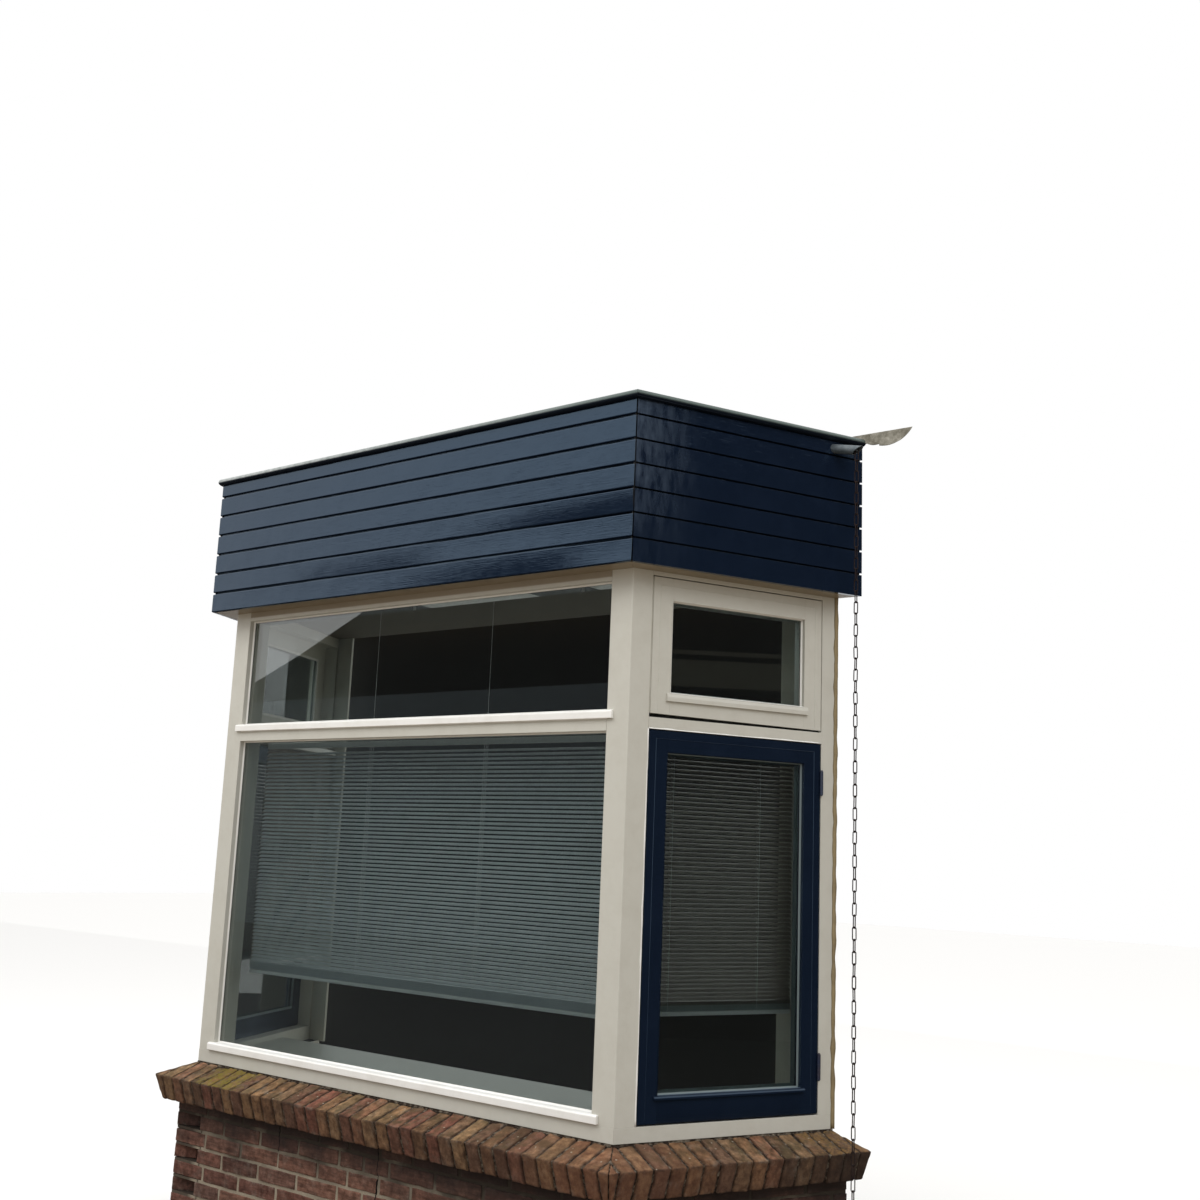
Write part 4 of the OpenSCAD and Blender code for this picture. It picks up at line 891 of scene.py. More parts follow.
for node in ("left_corner_post", "right_corner_post", "left_wall_post", "right_wall_post"):
    eased(node, node + "_timber", cream_upright, 0.0022)
eased("front_head", "front_head_timber", head_paint, 0.0012)
for node in ("bottom_rails", "front_transom", "side_transoms", "side_heads"):
    eased(node, node + "_timber", cream_level, 0.0012)
eased("window_board", "window_board_panel", wall_paint("dusty_window_board", "#b5b4ac", 0.45, 0.2),
      0.003)
eased("front_glazing_beads", "glazing_bead_timber", white_gloss_and_highlight, 0.0018)
SASH_FOOT = 1.345
for face in ("left", "right"):
    node = face + "_top_sash"
    dropped = -Vector((0, 0, 1)) - FACES[face][1] * 0.009
    eased(node, node + "_timber", cream_level, 0.0026,
          [(on_face(face, 0.083, 0, FOOT + SASH_FOOT + 0.007), dropped)])
eased("soffit_boards", "soffit_board_timber", shaded_soffit_paint, 0.0010)


# Casements and their butt hinges. Softwood leaves, tenoned at the corners, in navy gloss brushed on
# so full that it has run over the steel hinges.
def sky_tinted_sheen(paint, index):
    """Gives gloss over a dark pigment its strong sheen, tinted blue as a painted reflection of the sky."""
    for label, value in (("Coat Weight", 0), ("Specular IOR Level", 1.0),
                         ("Specular Tint", (0.49, 0.735, 1.0, 1)), ("IOR", index)):
        paint.node_tree.nodes["Principled BSDF"].inputs[label].default_value = value


NAVY = "#101a2b"
NAVY_DIRT = "#1b2639"
navy_level = gloss_paint("navy_gloss_level", NAVY, NAVY_DIRT, LEVEL_GRAIN, 0.20, 0.30, 0.35)
navy_upright = gloss_paint("navy_gloss_upright", NAVY, NAVY_DIRT, UPRIGHT_GRAIN, 0.22, 0.30, 0.35)
for paint in (navy_level, navy_upright):
    sky_tinted_sheen(paint, 1.45)
for node in ("left_casement", "right_casement"):
    eased(node, node + "_timber", navy_upright, 0.0020)
hinge_paint = gloss_paint("navy_paint_on_steel", "#202c45", "#4a3a30", (11.1, 11.1, 11.1), 0.35, 0.9, 0.8)
eased("casement_hinges", "casement_hinge_leaves", hinge_paint, 0.0006)


# Panes: clear double glazing, set in sealant in the rebates of the frame and the leaves. Each unit is
# cast here as one block with a perfect skin, as float glass is, faintly green and greyed darker than
# clear glass as painted shade that dims the view through it.
glass = finish_tree("float_glass", Base_Color=srgb("#c3cdcb"), Roughness=0.0, IOR=1.5,
                    Transmission_Weight=1.0, Coat_Weight=1.0, Coat_Roughness=0.0)[0]
for node in ("front_lower_pane", "front_upper_pane", "casement_panes", "top_sash_panes"):
    dress(node, glass)


# Sealant and seals. A bead of sealant is tooled by finger round both sides of each pane, and a fine
# moulding and lip are worked on each leaf; the sashes' lips are white as a painted highlight on their
# inner arris. Paint bridges the gaps round the leaves, and white strips along the frame's edge beside
# and above each casement are a painted highlight. Rubber seals the sashes' foot, its black also standing
# in as painted shade deep in the gap, and ochre sealant lies thick and uneven along the back edge of the
# wall posts.
def bead(name, face, span, levels, depth, wide, material, slot="cream_paint", runs=(0, 1, 2, 3), back=0):
    """Three-sided runs along the foot, end, top and start of an opening. Each fills the corner between
    its edge and the plane at a depth, or stands as a ridge on that plane where it also reaches back."""
    (start, stop), (foot, top) = span, levels
    ring = []
    for along, up, x, z in ((start, foot, 1, 1), (stop, foot, -1, 1), (stop, top, -1, -1),
                            (start, top, 1, -1)):
        ring.append([on_face(face, along - x * back * wide, -depth, FOOT + up - z * back * wide),
                     on_face(face, along + x * wide, -depth, FOOT + up + z * wide),
                     on_face(face, along, -depth + wide, FOOT + up)])
    points, faces = [], []
    for i in runs:
        k = len(points)
        points += ring[i] + ring[(i + 1) % 4]
        faces += [(k, k + 1, k + 2), (k + 3, k + 4, k + 5)]
        faces += [(k + j, k + 3 + j, k + 3 + (j + 1) % 3, k + (j + 1) % 3) for j in range(3)]
    piece = face_outwards(mesh_piece(name, points, faces, material))
    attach(piece, "root")


TOOLED = (11.1, 11.1, 11.1)
white_sealant_and_highlight = gloss_paint("white_sealant_and_highlight", "#efeee9", "#cfcbc0", TOOLED, 0.5, 0.4, 0.3)
grey_sealant = gloss_paint("grey_sealant", "#6d7a7c", "#56605f", TOOLED, 0.5, 0.4, 0.3)
rubber_and_gap_shade = gloss_paint("black_rubber_and_gap_shade", "#0d0d0d", "#1c1b1a", TOOLED, 0.8, 0.3, 0.4)
ochre_sealant = gloss_paint("ochre_sealant", "#978663", "#665a42", (16.7, 16.7, 16.7), 0.7, 0.9, 0.7)

SEALANT = 0.005
FRONT_REBATE = 0.025
SIGHT_X = HALF_FRONT - 0.090
LOWER_SIGHT = (0.080, 1.288)
UPPER_SIGHT = (1.358, 1.796)
for name, levels in (("lower_pane_sealant", LOWER_SIGHT), ("upper_pane_sealant", UPPER_SIGHT)):
    bead(name, "front", (-SIGHT_X, SIGHT_X), levels, FRONT_REBATE, SEALANT, white_sealant_and_highlight)

GAP = 0.004
LEAF_REBATE = 0.018
INNER_REBATE = 0.052
INNER_BEAD = 0.011
MOULDING_EDGE = 0.027
CASEMENT_FOOT = 0.054
CASEMENT_TOP = 1.300
SASH_TOP = 1.818
PAINT_OVER = 0.0004
reveal_start = 0.079
reveal_stop = side_stop(0) - 0.062
leaf_start = reveal_start + GAP
leaf_stop = reveal_stop - GAP
for face in ("right", "left"):
    run, out = FACES[face][1:]
    # The lips are navy paint on the casements; on the sashes, white sealant as a painted highlight on the
    # stile's inner arris.
    for leaf, stile, rail, foot, top, paint, lip_paint_and_highlight, filler, slot in (
            ("_casement", 0.070, 0.084, CASEMENT_FOOT, CASEMENT_TOP - GAP, navy_level, navy_level,
             grey_sealant, "navy_paint"),
            ("_sash", 0.074, 0.078, SASH_FOOT, SASH_TOP - GAP, cream_level, white_sealant_and_highlight,
             white_sealant_and_highlight, "cream_paint")):
        sight, height = (leaf_start + stile, leaf_stop - stile), (foot + rail, top - stile)
        bead(face + leaf + "_sealant", face, sight, height, LEAF_REBATE, SEALANT, filler)
        bead(face + leaf + "_inner_bead", face, sight, height, INNER_REBATE, INNER_BEAD, filler)
        bead(face + leaf + "_moulding", face, (leaf_start + MOULDING_EDGE, leaf_stop - MOULDING_EDGE),
             (foot + 0.010, top - MOULDING_EDGE), PAINT_OVER, 0.0015, paint, slot, runs=(1, 2, 3), back=1)
        bead(face + leaf + "_lip", face, sight, height, -0.0002, 0.0026, lip_paint_and_highlight, slot, runs=(0, 2, 3))
    bead(face + "_paint_filled_gap", face, (reveal_start - 0.0005, leaf_start + 0.050), (1.352, 1.812),
         0.0022, GAP + 0.0006, cream_upright, runs=(3,))
    # Painted highlight: white strips along the frame's arris beside and above each casement.
    for edge, start, stop, across, seed in (
            ("_painted_upright_edge", (reveal_start, 0.050), (reveal_start, CASEMENT_TOP), -run, 5.5),
            ("_painted_top_edge", (reveal_start, CASEMENT_TOP), (reveal_stop, CASEMENT_TOP),
             Vector((0, 0, 1)), 7.5)):
        uneven_strip(face + edge, on_face(face, start[0], -PAINT_OVER, FOOT + start[1]),
                     on_face(face, stop[0], -PAINT_OVER, FOOT + stop[1]), across, out, 0.0050, 0.0020, seed,
                     white_gloss_and_highlight)
    # The black seal in the sash foot gap also stands in as painted shade deep in the gap.
    seal_level = FOOT + SASH_FOOT - 0.007
    uneven_strip(face + "_sash_foot_seal", on_face(face, leaf_start, -0.020, seal_level),
                 on_face(face, leaf_stop, -0.020, seal_level), Vector((0, 0, 1)), out, 0.018, 0.010, 1.5,
                 rubber_and_gap_shade)
for face, side in (("right", 1), ("left", -1)):
    uneven_strip(face + "_wall_sealant", on_face(face, side_stop(0), 0, FOOT + 0.001),
                 on_face(face, side_stop(0), 0, FOOT + 1.849), Vector((side, 0, 0)), -FACES[face][1],
                 0.0085, 0.0085, 3.0 * side, ochre_sealant)


# Fascia: rebated softwood boards in navy gloss, nailed round the roof box, with an open groove between
# each pair, its floor painted near black as shade, and a gap at the mitres closed behind by a dark strip
# of painted shade. They have wound a little, so that reflections break up in them, and the side next to
# the corner carries lighter streaks, partly rain runs and partly painted reflection.
FASCIA_OUT = 0.093
FIRST_BOARD = 0.077
BOARD = 0.0845
BOARDS = 7
GROOVE_FLOOR = 0.004
MITRE_GAP = 0.0022
MITRE_SHADE_STRIP = 0.012
WINDING = 0.0013
BEND_STEP = 0.09
fascia_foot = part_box("front_fascia")[0].z
corner_x = face_end(FASCIA_OUT)

# The front boards' winding by board, counted from the foot, as (distance from the middle, lean).
LEANING = {0: ((-0.10, -0.7), (0.30, 0.9), (0.60, 2.0), (0.80, 1.9), (0.95, -1.6)),
           1: ((-0.65, -0.7), (-0.40, 1.3), (0.10, 1.2), (0.30, -1.0)),
           2: ((0.30, -0.5), (0.55, 1.1), (0.75, 2.5), (1.00, 3.4))}
EVEN = ((0, -0.35), (1, -0.35))


def lean_at(board, along):
    """How far a board of the front, counted from the foot, has wound at a distance from the middle."""
    marks = LEANING.get(board, EVEN)
    for (a, low), (b, high) in zip(marks, marks[1:]):
        if along < b:
            return low + (high - low) * max(0, along - a) / (b - a)
    return marks[-1][1]


streaked = gloss_paint("navy_gloss_streaked", NAVY, NAVY_DIRT, LEVEL_GRAIN, 0.085, 0.30, 0.35)
sky_tinted_sheen(streaked, 1.545)
tree, shader, place, paint = over_paint(streaked)
# Lighter streaks on the side next to the corner, stronger towards the top: partly rain runs, partly painted
# reflection.
runs = add(tree, "ShaderNodeMapping", {"Vector": place, "Scale": [cells(size) for size in (33.3, 33.3, 111)]})
runs = add(tree, "ShaderNodeTexNoise", {"Vector": runs.outputs[0], "Scale": 1.0, "Detail": 5.0,
                                        "Roughness": 0.65})
runs = add(tree, "ShaderNodeMapRange", {"Value": runs.outputs[0], "From Min": 0.36, "From Max": 0.62})
split = add(tree, "ShaderNodeSeparateXYZ", {0: place})
gone_off = add(tree, "ShaderNodeMapRange", {"Value": split.outputs["X"], "From Min": -1.1, "From Max": 0.5,
                                            "To Min": 0.84, "To Max": 1.0})
tree.links.new(gone_off.outputs[0], shader.inputs["Specular IOR Level"])
near_corner = add(tree, "ShaderNodeMapRange", {"Value": split.outputs["X"], "From Min": corner_x + 0.004,
                                               "From Max": corner_x + 0.104, "To Min": 0.75, "To Max": 0.0})
aloft = add(tree, "ShaderNodeMapRange", {"Value": split.outputs["Z"], "From Min": fascia_foot + FIRST_BOARD,
                                         "From Max": fascia_foot + 3.5 * BOARD, "To Min": 0.15})
runs = add(tree, "ShaderNodeMath", {0: runs.outputs[0], 1: aloft.outputs[0]}, operation="MULTIPLY")
beyond = add(tree, "ShaderNodeMath", {0: split.outputs["X"], 1: corner_x - 0.0017},
             operation="GREATER_THAN")
runs = add(tree, "ShaderNodeMath", {0: runs.outputs[0], 1: near_corner.outputs[0]}, operation="MULTIPLY")
runs = add(tree, "ShaderNodeMath", {0: runs.outputs[0], 1: beyond.outputs[0]}, operation="MULTIPLY")
paint = add(tree, "ShaderNodeMix", {0: runs.outputs[0], 6: paint, 7: srgb("#4a5666")}, data_type="RGBA")
# The groove floors are painted near black, as shade.
groove_shade = add(tree, "ShaderNodeAttribute", attribute_name="groove_shade").outputs["Fac"]
paint = add(tree, "ShaderNodeMix", {0: groove_shade, 6: paint.outputs[2], 7: srgb("#0a0f18")}, data_type="RGBA")
tree.links.new(paint.outputs[2], shader.inputs["Base Color"])
for node, face, sides in (("front_fascia", "front", (1, -1)), ("right_fascia", "right", (1,)),
                          ("left_fascia", "left", (-1,))):
    inward = 1 if face == "front" else -1
    boards = eased(node, node + "_boards", streaked, 0.0042,
                   [(mitre[side][0] - mitre[side][1] * inward * MITRE_GAP, mitre[side][1] * inward)
                    for side in sides])
    bm = bmesh.new()
    bm.from_mesh(boards.data)
    run, out = FACES[face][1:]
    # Grid lines across and along the boards let them bend.
    for k in range(-12, 13):
        bmesh.ops.bisect_plane(bm, geom=bm.verts[:] + bm.edges[:] + bm.faces[:],
                               plane_co=FACES[face][0] + run * k * BEND_STEP, plane_no=run)
    for k in range(BOARDS):
        for part in (-0.55, -0.25):
            bmesh.ops.bisect_plane(bm, geom=bm.verts[:] + bm.edges[:] + bm.faces[:], plane_no=(0, 0, 1),
                                   plane_co=(0, 0, fascia_foot + FIRST_BOARD + (k + part) * BOARD))
    groove_shade = bm.verts.layers.float.new("groove_shade")
    for v in bm.verts:
        along = (v.co - FACES[face][0]).dot(run)
        level = (v.co.z - fascia_foot - FIRST_BOARD) / BOARD + 1
        k = math.floor(level - 0.01)
        # Points below the board faces, in the grooves, carry the groove's painted shade.
        v[groove_shade] = float((v.co - FACES[face][0]).dot(out) < FASCIA_OUT - GROOVE_FLOOR)
        lean = 0.5 * noise.noise(Vector((along * 2.6, k * 7.3, 4.0)))
        if face == "front":
            lean = 0.5 * lean + lean_at(k, along)
        part = level - k
        v.co += out * WINDING * lean * (3.4 * part - 1.7 * part * part - 1)
        v.co.y = min(v.co.y, WALL_Y)
    bm.to_mesh(boards.data)
    bm.free()
# A dark strip behind each mitre gap is painted shade in the gap.
for face, side in (("right", 1), ("left", -1)):
    normal = mitre[side][1]
    start = Vector((side * face_end(FASCIA_OUT - MITRE_SHADE_STRIP), FRONT_Y - FASCIA_OUT + MITRE_SHADE_STRIP,
                    fascia_foot + 0.003)) - normal * MITRE_SHADE_STRIP / 2
    outward = Vector((normal.y * side, -abs(normal.x), 0))
    uneven_strip("fascia_mitre_backing_" + face, start, start + Vector((0, 0, BOARDS * BOARD - 0.036)),
                 normal, outward, MITRE_SHADE_STRIP, 0.005, 6.5, rubber_and_gap_shade)


# Roof edge trim: extruded aluminium with a round nose, screwed down over the felt's edge and jointed
# at the corners. It is dull pale grey, darker grey-green towards the right, and the underside of its
# nose is painted near black as shade.
def worn_metal(name, colour, spots, roughness, metallic, patch, relief):
    """Metal out of doors: its skin clouds over in patches of a given size, and it is never quite flat."""
    material, tree, shader, place = finish_tree(name, Roughness=roughness, Metallic=metallic)
    cloud = add(tree, "ShaderNodeTexNoise", {"Vector": place, "Scale": cells(patch), "Detail": 7.0,
                                             "Roughness": 0.68})
    share = add(tree, "ShaderNodeMapRange", {"Value": cloud.outputs[0], "From Min": 0.38, "From Max": 0.68})
    shade = add(tree, "ShaderNodeMix", {0: share.outputs[0], 6: srgb(colour), 7: srgb(spots)},
                data_type="RGBA")
    tree.links.new(shade.outputs[2], shader.inputs["Base Color"])
    bump = add(tree, "ShaderNodeBump", {"Height": cloud.outputs[0], "Strength": relief, "Distance": 0.002})
    tree.links.new(bump.outputs[0], shader.inputs["Normal"])
    return material


dull = worn_metal("dull_aluminium", "#b6bab8", "#8c9491", 0.34, 0.5, 33.3, 0.25)
tree, shader, place, metal = over_paint(dull)
trim_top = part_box("roof_edge_trim")[1].z
split = add(tree, "ShaderNodeSeparateXYZ", {0: place})
# Painted shade: the nose's underside turns near black; the metal greys to green towards the right.
nose_shade = add(tree, "ShaderNodeMapRange", {"Value": split.outputs["Z"], "From Min": trim_top - 0.019,
                                         "From Max": trim_top - 0.014, "To Min": 1.0, "To Max": 0.0})
darker_rightwards = add(tree, "ShaderNodeMapRange", {"Value": split.outputs["X"], "From Min": -0.8, "From Max": 1.15})
metal = add(tree, "ShaderNodeMix", {0: darker_rightwards.outputs[0], 6: metal, 7: srgb("#5d6965")}, data_type="RGBA")
metal = add(tree, "ShaderNodeMix", {0: nose_shade.outputs[0], 6: metal.outputs[2], 7: srgb("#18202c")},
            data_type="RGBA")
tree.links.new(metal.outputs[2], shader.inputs["Base Color"])
eased("roof_edge_trim", "roof_edge_nose", dull, 0.0008, crease=30)


# Roof: mineral felt, torched to a plywood deck and turned up its kerb, on rough framing. Brackets
# carry the fascia, and a softwood board closes the back. Grit makes the felt matt and speckled.
felt, tree, shader, place = finish_tree("mineral_felt", Roughness=0.95)
grit = add(tree, "ShaderNodeTexNoise", {"Vector": place, "Scale": cells(1.43), "Detail": 2.0,
                                        "Roughness": 0.8})
cloud = add(tree, "ShaderNodeTexNoise", {"Vector": place, "Scale": cells(250), "Detail": 6.0})
tint = add(tree, "ShaderNodeMix", {0: cloud.outputs[0], 6: srgb("#33363a"), 7: srgb("#5c5d5a")},
           data_type="RGBA")
tint = add(tree, "ShaderNodeMix", {0: 0.8, 6: tint.outputs[2], 7: grit.outputs[0]}, data_type="RGBA",
           blend_type="OVERLAY")
tree.links.new(tint.outputs[2], shader.inputs["Base Color"])
bump = add(tree, "ShaderNodeBump", {"Height": grit.outputs[0], "Strength": 0.8, "Distance": 0.002})
tree.links.new(bump.outputs[0], shader.inputs["Normal"])
dress("roof_membrane", felt)


def softwood(name, grain):
    """Sawn spruce: growth rings drawn out along the grain, in bands about 7 mm wide."""
    material, tree, shader, place = finish_tree(name, Roughness=0.7)
    stretch = add(tree, "ShaderNodeMapping", {"Vector": place, "Scale": [cells(band) for band in grain]})
    rings = add(tree, "ShaderNodeTexNoise", {"Vector": stretch.outputs[0], "Scale": 1.0, "Detail": 5.0,
                                             "Roughness": 0.6, "Distortion": 0.4})
    share = add(tree, "ShaderNodeMapRange", {"Value": rings.outputs[0], "From Min": 0.35, "From Max": 0.65})
    shade = add(tree, "ShaderNodeMix", {0: share.outputs[0], 6: srgb("#c49a63"), 7: srgb("#9b7242")},
                data_type="RGBA")
    tree.links.new(shade.outputs[2], shader.inputs["Base Color"])
    bump = add(tree, "ShaderNodeBump", {"Height": rings.outputs[0], "Strength": 0.3, "Distance": 0.001})
    tree.links.new(bump.outputs[0], shader.inputs["Normal"])
    return material


along_wall = softwood("sawn_softwood", (250, 6.67, 6.67))
for node in ("roof_framing", "fascia_brackets", "roof_deck", "roof_kerb", "roof_back_board"):
    dress(node, along_wall)


# Lead flashing: sheet lead dressed by hand over the felt and turned up at the back, its ends cut in
# two lobes. It never lies quite flat, its free edge stands off in slow waves, and filler closes the
# gap behind each end of the trim.
def box_mesh(bm, low, high, ease):
    """Adds a box with eased arrises between two corners."""
    made = bmesh.ops.create_cube(bm, size=1)["verts"]
    size = Vector(high) - Vector(low)
    bmesh.ops.scale(bm, vec=size, verts=made)
    bmesh.ops.translate(bm, vec=(Vector(low) + Vector(high)) / 2, verts=made)
    if ease:
        edges = list({e for v in made for e in v.link_edges})
        bmesh.ops.bevel(bm, geom=edges, offset=ease, segments=2, profile=0.5, affect="EDGES")


FILLER_X = 1.515
UPSTAND_ZONE = 0.010
lead = worn_metal("weathered_lead", "#716d60", "#a9a599", 0.7, 0.2, 29.4, 1.0)
sheet = eased("lead_flashing", "dressed_lead_sheet", lead, 0.0008, crease=30)
low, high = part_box("lead_flashing")
bm = bmesh.new()
bm.from_mesh(sheet.data)
for axis, start, stop, step in ((0, low.x, high.x, 0.025), (2, low.z, high.z, 0.012)):
    normal = [float(axis == i) for i in range(3)]
    for k in range(1, round((stop - start) / step)):
        bmesh.ops.bisect_plane(bm, geom=bm.verts[:] + bm.edges[:] + bm.faces[:],
                               plane_co=[(start + k * step) * n for n in normal], plane_no=normal)
for v in bm.verts:
    if v.co.y > WALL_Y - UPSTAND_ZONE:
        free = min(1, (high.z - v.co.z) / 0.045)
        wave = 0.5 + 0.9 * noise.noise(Vector((v.co.x * 11, v.co.z * 9, 1.0)))
        dent = 0.25 * noise.noise(Vector((v.co.x * 42, v.co.z * 42, 6.0)))
        v.co.y -= 0.007 * free * max(0, wave + dent)
    v.co.y = min(v.co.y, WALL_Y)
    v.co.z = min(v.co.z, high.z)
for x in (FILLER_X, -FILLER_X):
    box_mesh(bm, (x - 0.015, WALL_Y - 0.0065, high.z - 0.036), (x + 0.015, WALL_Y - 0.0005, high.z - 0.004),
             0.0006)
bm.to_mesh(sheet.data)
bm.free()


# Rain spout: a soldered tube of sheet zinc, pushed through the fascia with a fall, with an oblique
# mouth and a pin for the chain. Rain has clouded it.
dress("rain_spout", worn_metal("weathered_zinc", "#5f686d", "#7f8689", 0.5, 0.55, 16.7, 0.3))


# Rain chain: closed oval links of 4 mm wire, hooked a quarter turn apart from the spout's pin down to
# the ground, and rusted all over to a dark, dry brown.
LINK_WIDE = 0.017
LINK_LONG = 0.048
WIRE = 0.002
LINK_PITCH = LINK_LONG - 4 * WIRE - 0.0003
low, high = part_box("rain_chain")
chain_spot = Vector(((low.x + high.x) / 2, (low.y + high.y) / 2, high.z - LINK_LONG / 2))
link_count = round((high.z - low.z - LINK_LONG) / LINK_PITCH) + 1

rust, tree, shader, place = finish_tree("rusted_wire", Roughness=0.85, Metallic=0.2)
bloom = add(tree, "ShaderNodeTexNoise", {"Vector": place, "Scale": cells(6.25), "Detail": 6.0,
                                         "Roughness": 0.75})
tint = add(tree, "ShaderNodeMapRange", {"Value": bloom.outputs[0], "From Min": 0.35, "From Max": 0.7})
tint = add(tree, "ShaderNodeMix", {0: tint.outputs[0], 6: srgb("#171313"), 7: srgb("#3a2620")},
           data_type="RGBA")
tree.links.new(tint.outputs[2], shader.inputs["Base Color"])
bump = add(tree, "ShaderNodeBump", {"Height": bloom.outputs[0], "Strength": 0.7, "Distance": 0.0008})
tree.links.new(bump.outputs[0], shader.inputs["Normal"])

round_steps, wire_steps = 32, 8
bend = LINK_WIDE / 2 - WIRE
straight = LINK_LONG / 2 - LINK_WIDE / 2
points, faces = [], []
for i in range(round_steps):
    turn = 2 * math.pi * (i + 0.5) / round_steps
    outward = Vector((math.cos(turn), 0, math.sin(turn)))
    centre = outward * bend + Vector((0, 0, math.copysign(straight, outward.z)))
    for j in range(wire_steps):
        angle = 2 * math.pi * j / wire_steps
        points.append(centre + WIRE * (outward * math.cos(angle) + Vector((0, math.sin(angle), 0))))
        after, over = (i + 1) % round_steps, (j + 1) % wire_steps
        faces.append((i * wire_steps + j, i * wire_steps + over, after * wire_steps + over,
                      after * wire_steps + j))
link_shape = face_outwards(mesh_piece("link_shape", points, faces))
link_shape.data.shade_smooth()

tree, given = shape_tree("hanging_chain", (("Link", "Object"), ("Count", "Int"), ("Pitch", "Float"),
                                           ("Top", "Vector"), ("Slack", "Float"), ("Material", "Material")))
step = add(tree, "ShaderNodeMath", {0: given["Pitch"], 1: -1.0}, operation="MULTIPLY")
step = add(tree, "ShaderNodeCombineXYZ", {"Z": step.outputs[0]})
line = add(tree, "GeometryNodeMeshLine", {"Count": given["Count"], "Start Location": given["Top"],
                                          "Offset": step.outputs[0]})
index = add(tree, "GeometryNodeInputIndex")
odd = add(tree, "ShaderNodeMath", {0: index.outputs[0], 1: 2.0}, operation="MODULO")
quarter = add(tree, "ShaderNodeMath", {0: odd.outputs[0], 1: math.pi / 2}, operation="MULTIPLY")
lean = add(tree, "FunctionNodeRandomValue", {"Min": (-1, -1, -3), "Max": (1, 1, 3), "ID": index.outputs[0],
                                             "Seed": 5}, data_type="FLOAT_VECTOR")
lean = add(tree, "ShaderNodeVectorMath", {0: lean.outputs[0], "Scale": given["Slack"]}, operation="SCALE")
quarter = add(tree, "ShaderNodeCombineXYZ", {"Z": quarter.outputs[0]})
turned = add(tree, "ShaderNodeVectorMath", {0: quarter.outputs[0], 1: lean.outputs[0]}, operation="ADD")
turned = add(tree, "FunctionNodeEulerToRotation", {"Euler": turned.outputs[0]})
link = add(tree, "GeometryNodeObjectInfo", {"Object": given["Link"]})
hung = add(tree, "GeometryNodeInstanceOnPoints", {"Points": line.outputs[0],
                                                  "Instance": link.outputs["Geometry"],
                                                  "Rotation": turned.outputs[0]})
solid = add(tree, "GeometryNodeRealizeInstances", {"Geometry": hung.outputs[0]})
done = add(tree, "GeometryNodeSetMaterial", {"Geometry": solid.outputs[0], "Material": given["Material"]})
add(tree, "NodeGroupOutput", {"Geometry": done.outputs[0]})

chain = mesh_piece("rusty_rain_chain", [(0, 0, 0)], [])
run_nodes(chain, tree, {"Link": link_shape, "Count": link_count, "Pitch": LINK_PITCH, "Top": chain_spot,
                        "Slack": 0.02, "Material": rust})
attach(chain, "root")
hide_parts("rain_chain")


# Venetian blinds: crowned slats of lacquered aluminium 18 mm wide on ladder cords, between a head
# rail on brackets and a bottom rail. That rail is drawn up a little, so that some slats lie stacked
# on it and the next hang closer.
SLAT_WIDE = 0.018
SLAT_PITCH = 0.0157
RAIL = 0.022
FOOT_RAIL = 0.014
STACKED = 11
STACK_PITCH = 0.003
STACK_TOP = 0.398
CLOSING = 0.92
CORD = 0.0005


def slat_lacquer(name, colour, dusty, foot):
    """Baked lacquer on aluminium strip, with a film of dust in clouds, and its own colour at the foot,
    where the slats lie stacked."""
    material, tree, shader, place = finish_tree(name, Roughness=0.4)
    dust = add(tree, "ShaderNodeTexNoise", {"Vector": place, "Scale": cells(40), "Detail": 5.0})
    tint = add(tree, "ShaderNodeMix", {0: dust.outputs[0], 6: srgb(colour), 7: srgb(dusty)}, data_type="RGBA")
    split = add(tree, "ShaderNodeSeparateXYZ", {0: place})
    low = add(tree, "ShaderNodeMath", {0: split.outputs["Z"], 1: FOOT + STACK_TOP}, operation="LESS_THAN")
    tint = add(tree, "ShaderNodeMix", {0: low.outputs[0], 6: tint.outputs[2], 7: srgb(foot)},
               data_type="RGBA")
    tree.links.new(tint.outputs[2], shader.inputs["Base Color"])
    return material


# The side blinds get a darker, warmer copy of the lacquer as painted shade; their stacked foot keeps a
# lighter grey.
lacquer = slat_lacquer("grey_slat_lacquer", "#d6dce0", "#b4babd", "#d6dce0")
shaded_lacquer = slat_lacquer("slat_lacquer_in_painted_shade", "#a29a92", "#877f78", "#b3bcba")

crown = [(SLAT_WIDE * (k / 6 - 0.5), 0.0022 * (1 - (k / 3 - 1) ** 2)) for k in range(7)]
ring = crown + [(y, z - 0.0004) for y, z in reversed(crown)]
points = [(x, y, z) for x in (-0.5, 0.5) for y, z in ring]
size = len(ring)
faces = [tuple(range(size)), tuple(range(2 * size - 1, size - 1, -1))]
faces += [(i, size + i, size + (i + 1) % size, (i + 1) % size) for i in range(size)]
slat_shape = face_outwards(mesh_piece("slat_shape", points, faces))

slat_tree, given = shape_tree("venetian_slats", (("Slat", "Object"), ("Count", "Int"), ("Pitch", "Float"),
                                                 ("Sag", "Float"), ("Length", "Float"), ("Tilt", "Float"),
                                                 ("Material", "Material")))
tree = slat_tree
step = add(tree, "ShaderNodeCombineXYZ", {"Z": given["Pitch"]})
line = add(tree, "GeometryNodeMeshLine", {"Count": given["Count"], "Offset": step.outputs[0]})
index = add(tree, "GeometryNodeInputIndex")
fade = add(tree, "ShaderNodeMath", {0: CLOSING, 1: index.outputs[0]}, operation="POWER")
fade = add(tree, "ShaderNodeMath", {0: fade.outputs[0], 1: 1.0}, operation="SUBTRACT")
fade = add(tree, "ShaderNodeMath", {0: fade.outputs[0], 1: given["Sag"]}, operation="MULTIPLY")
fade = add(tree, "ShaderNodeCombineXYZ", {"Z": fade.outputs[0]})
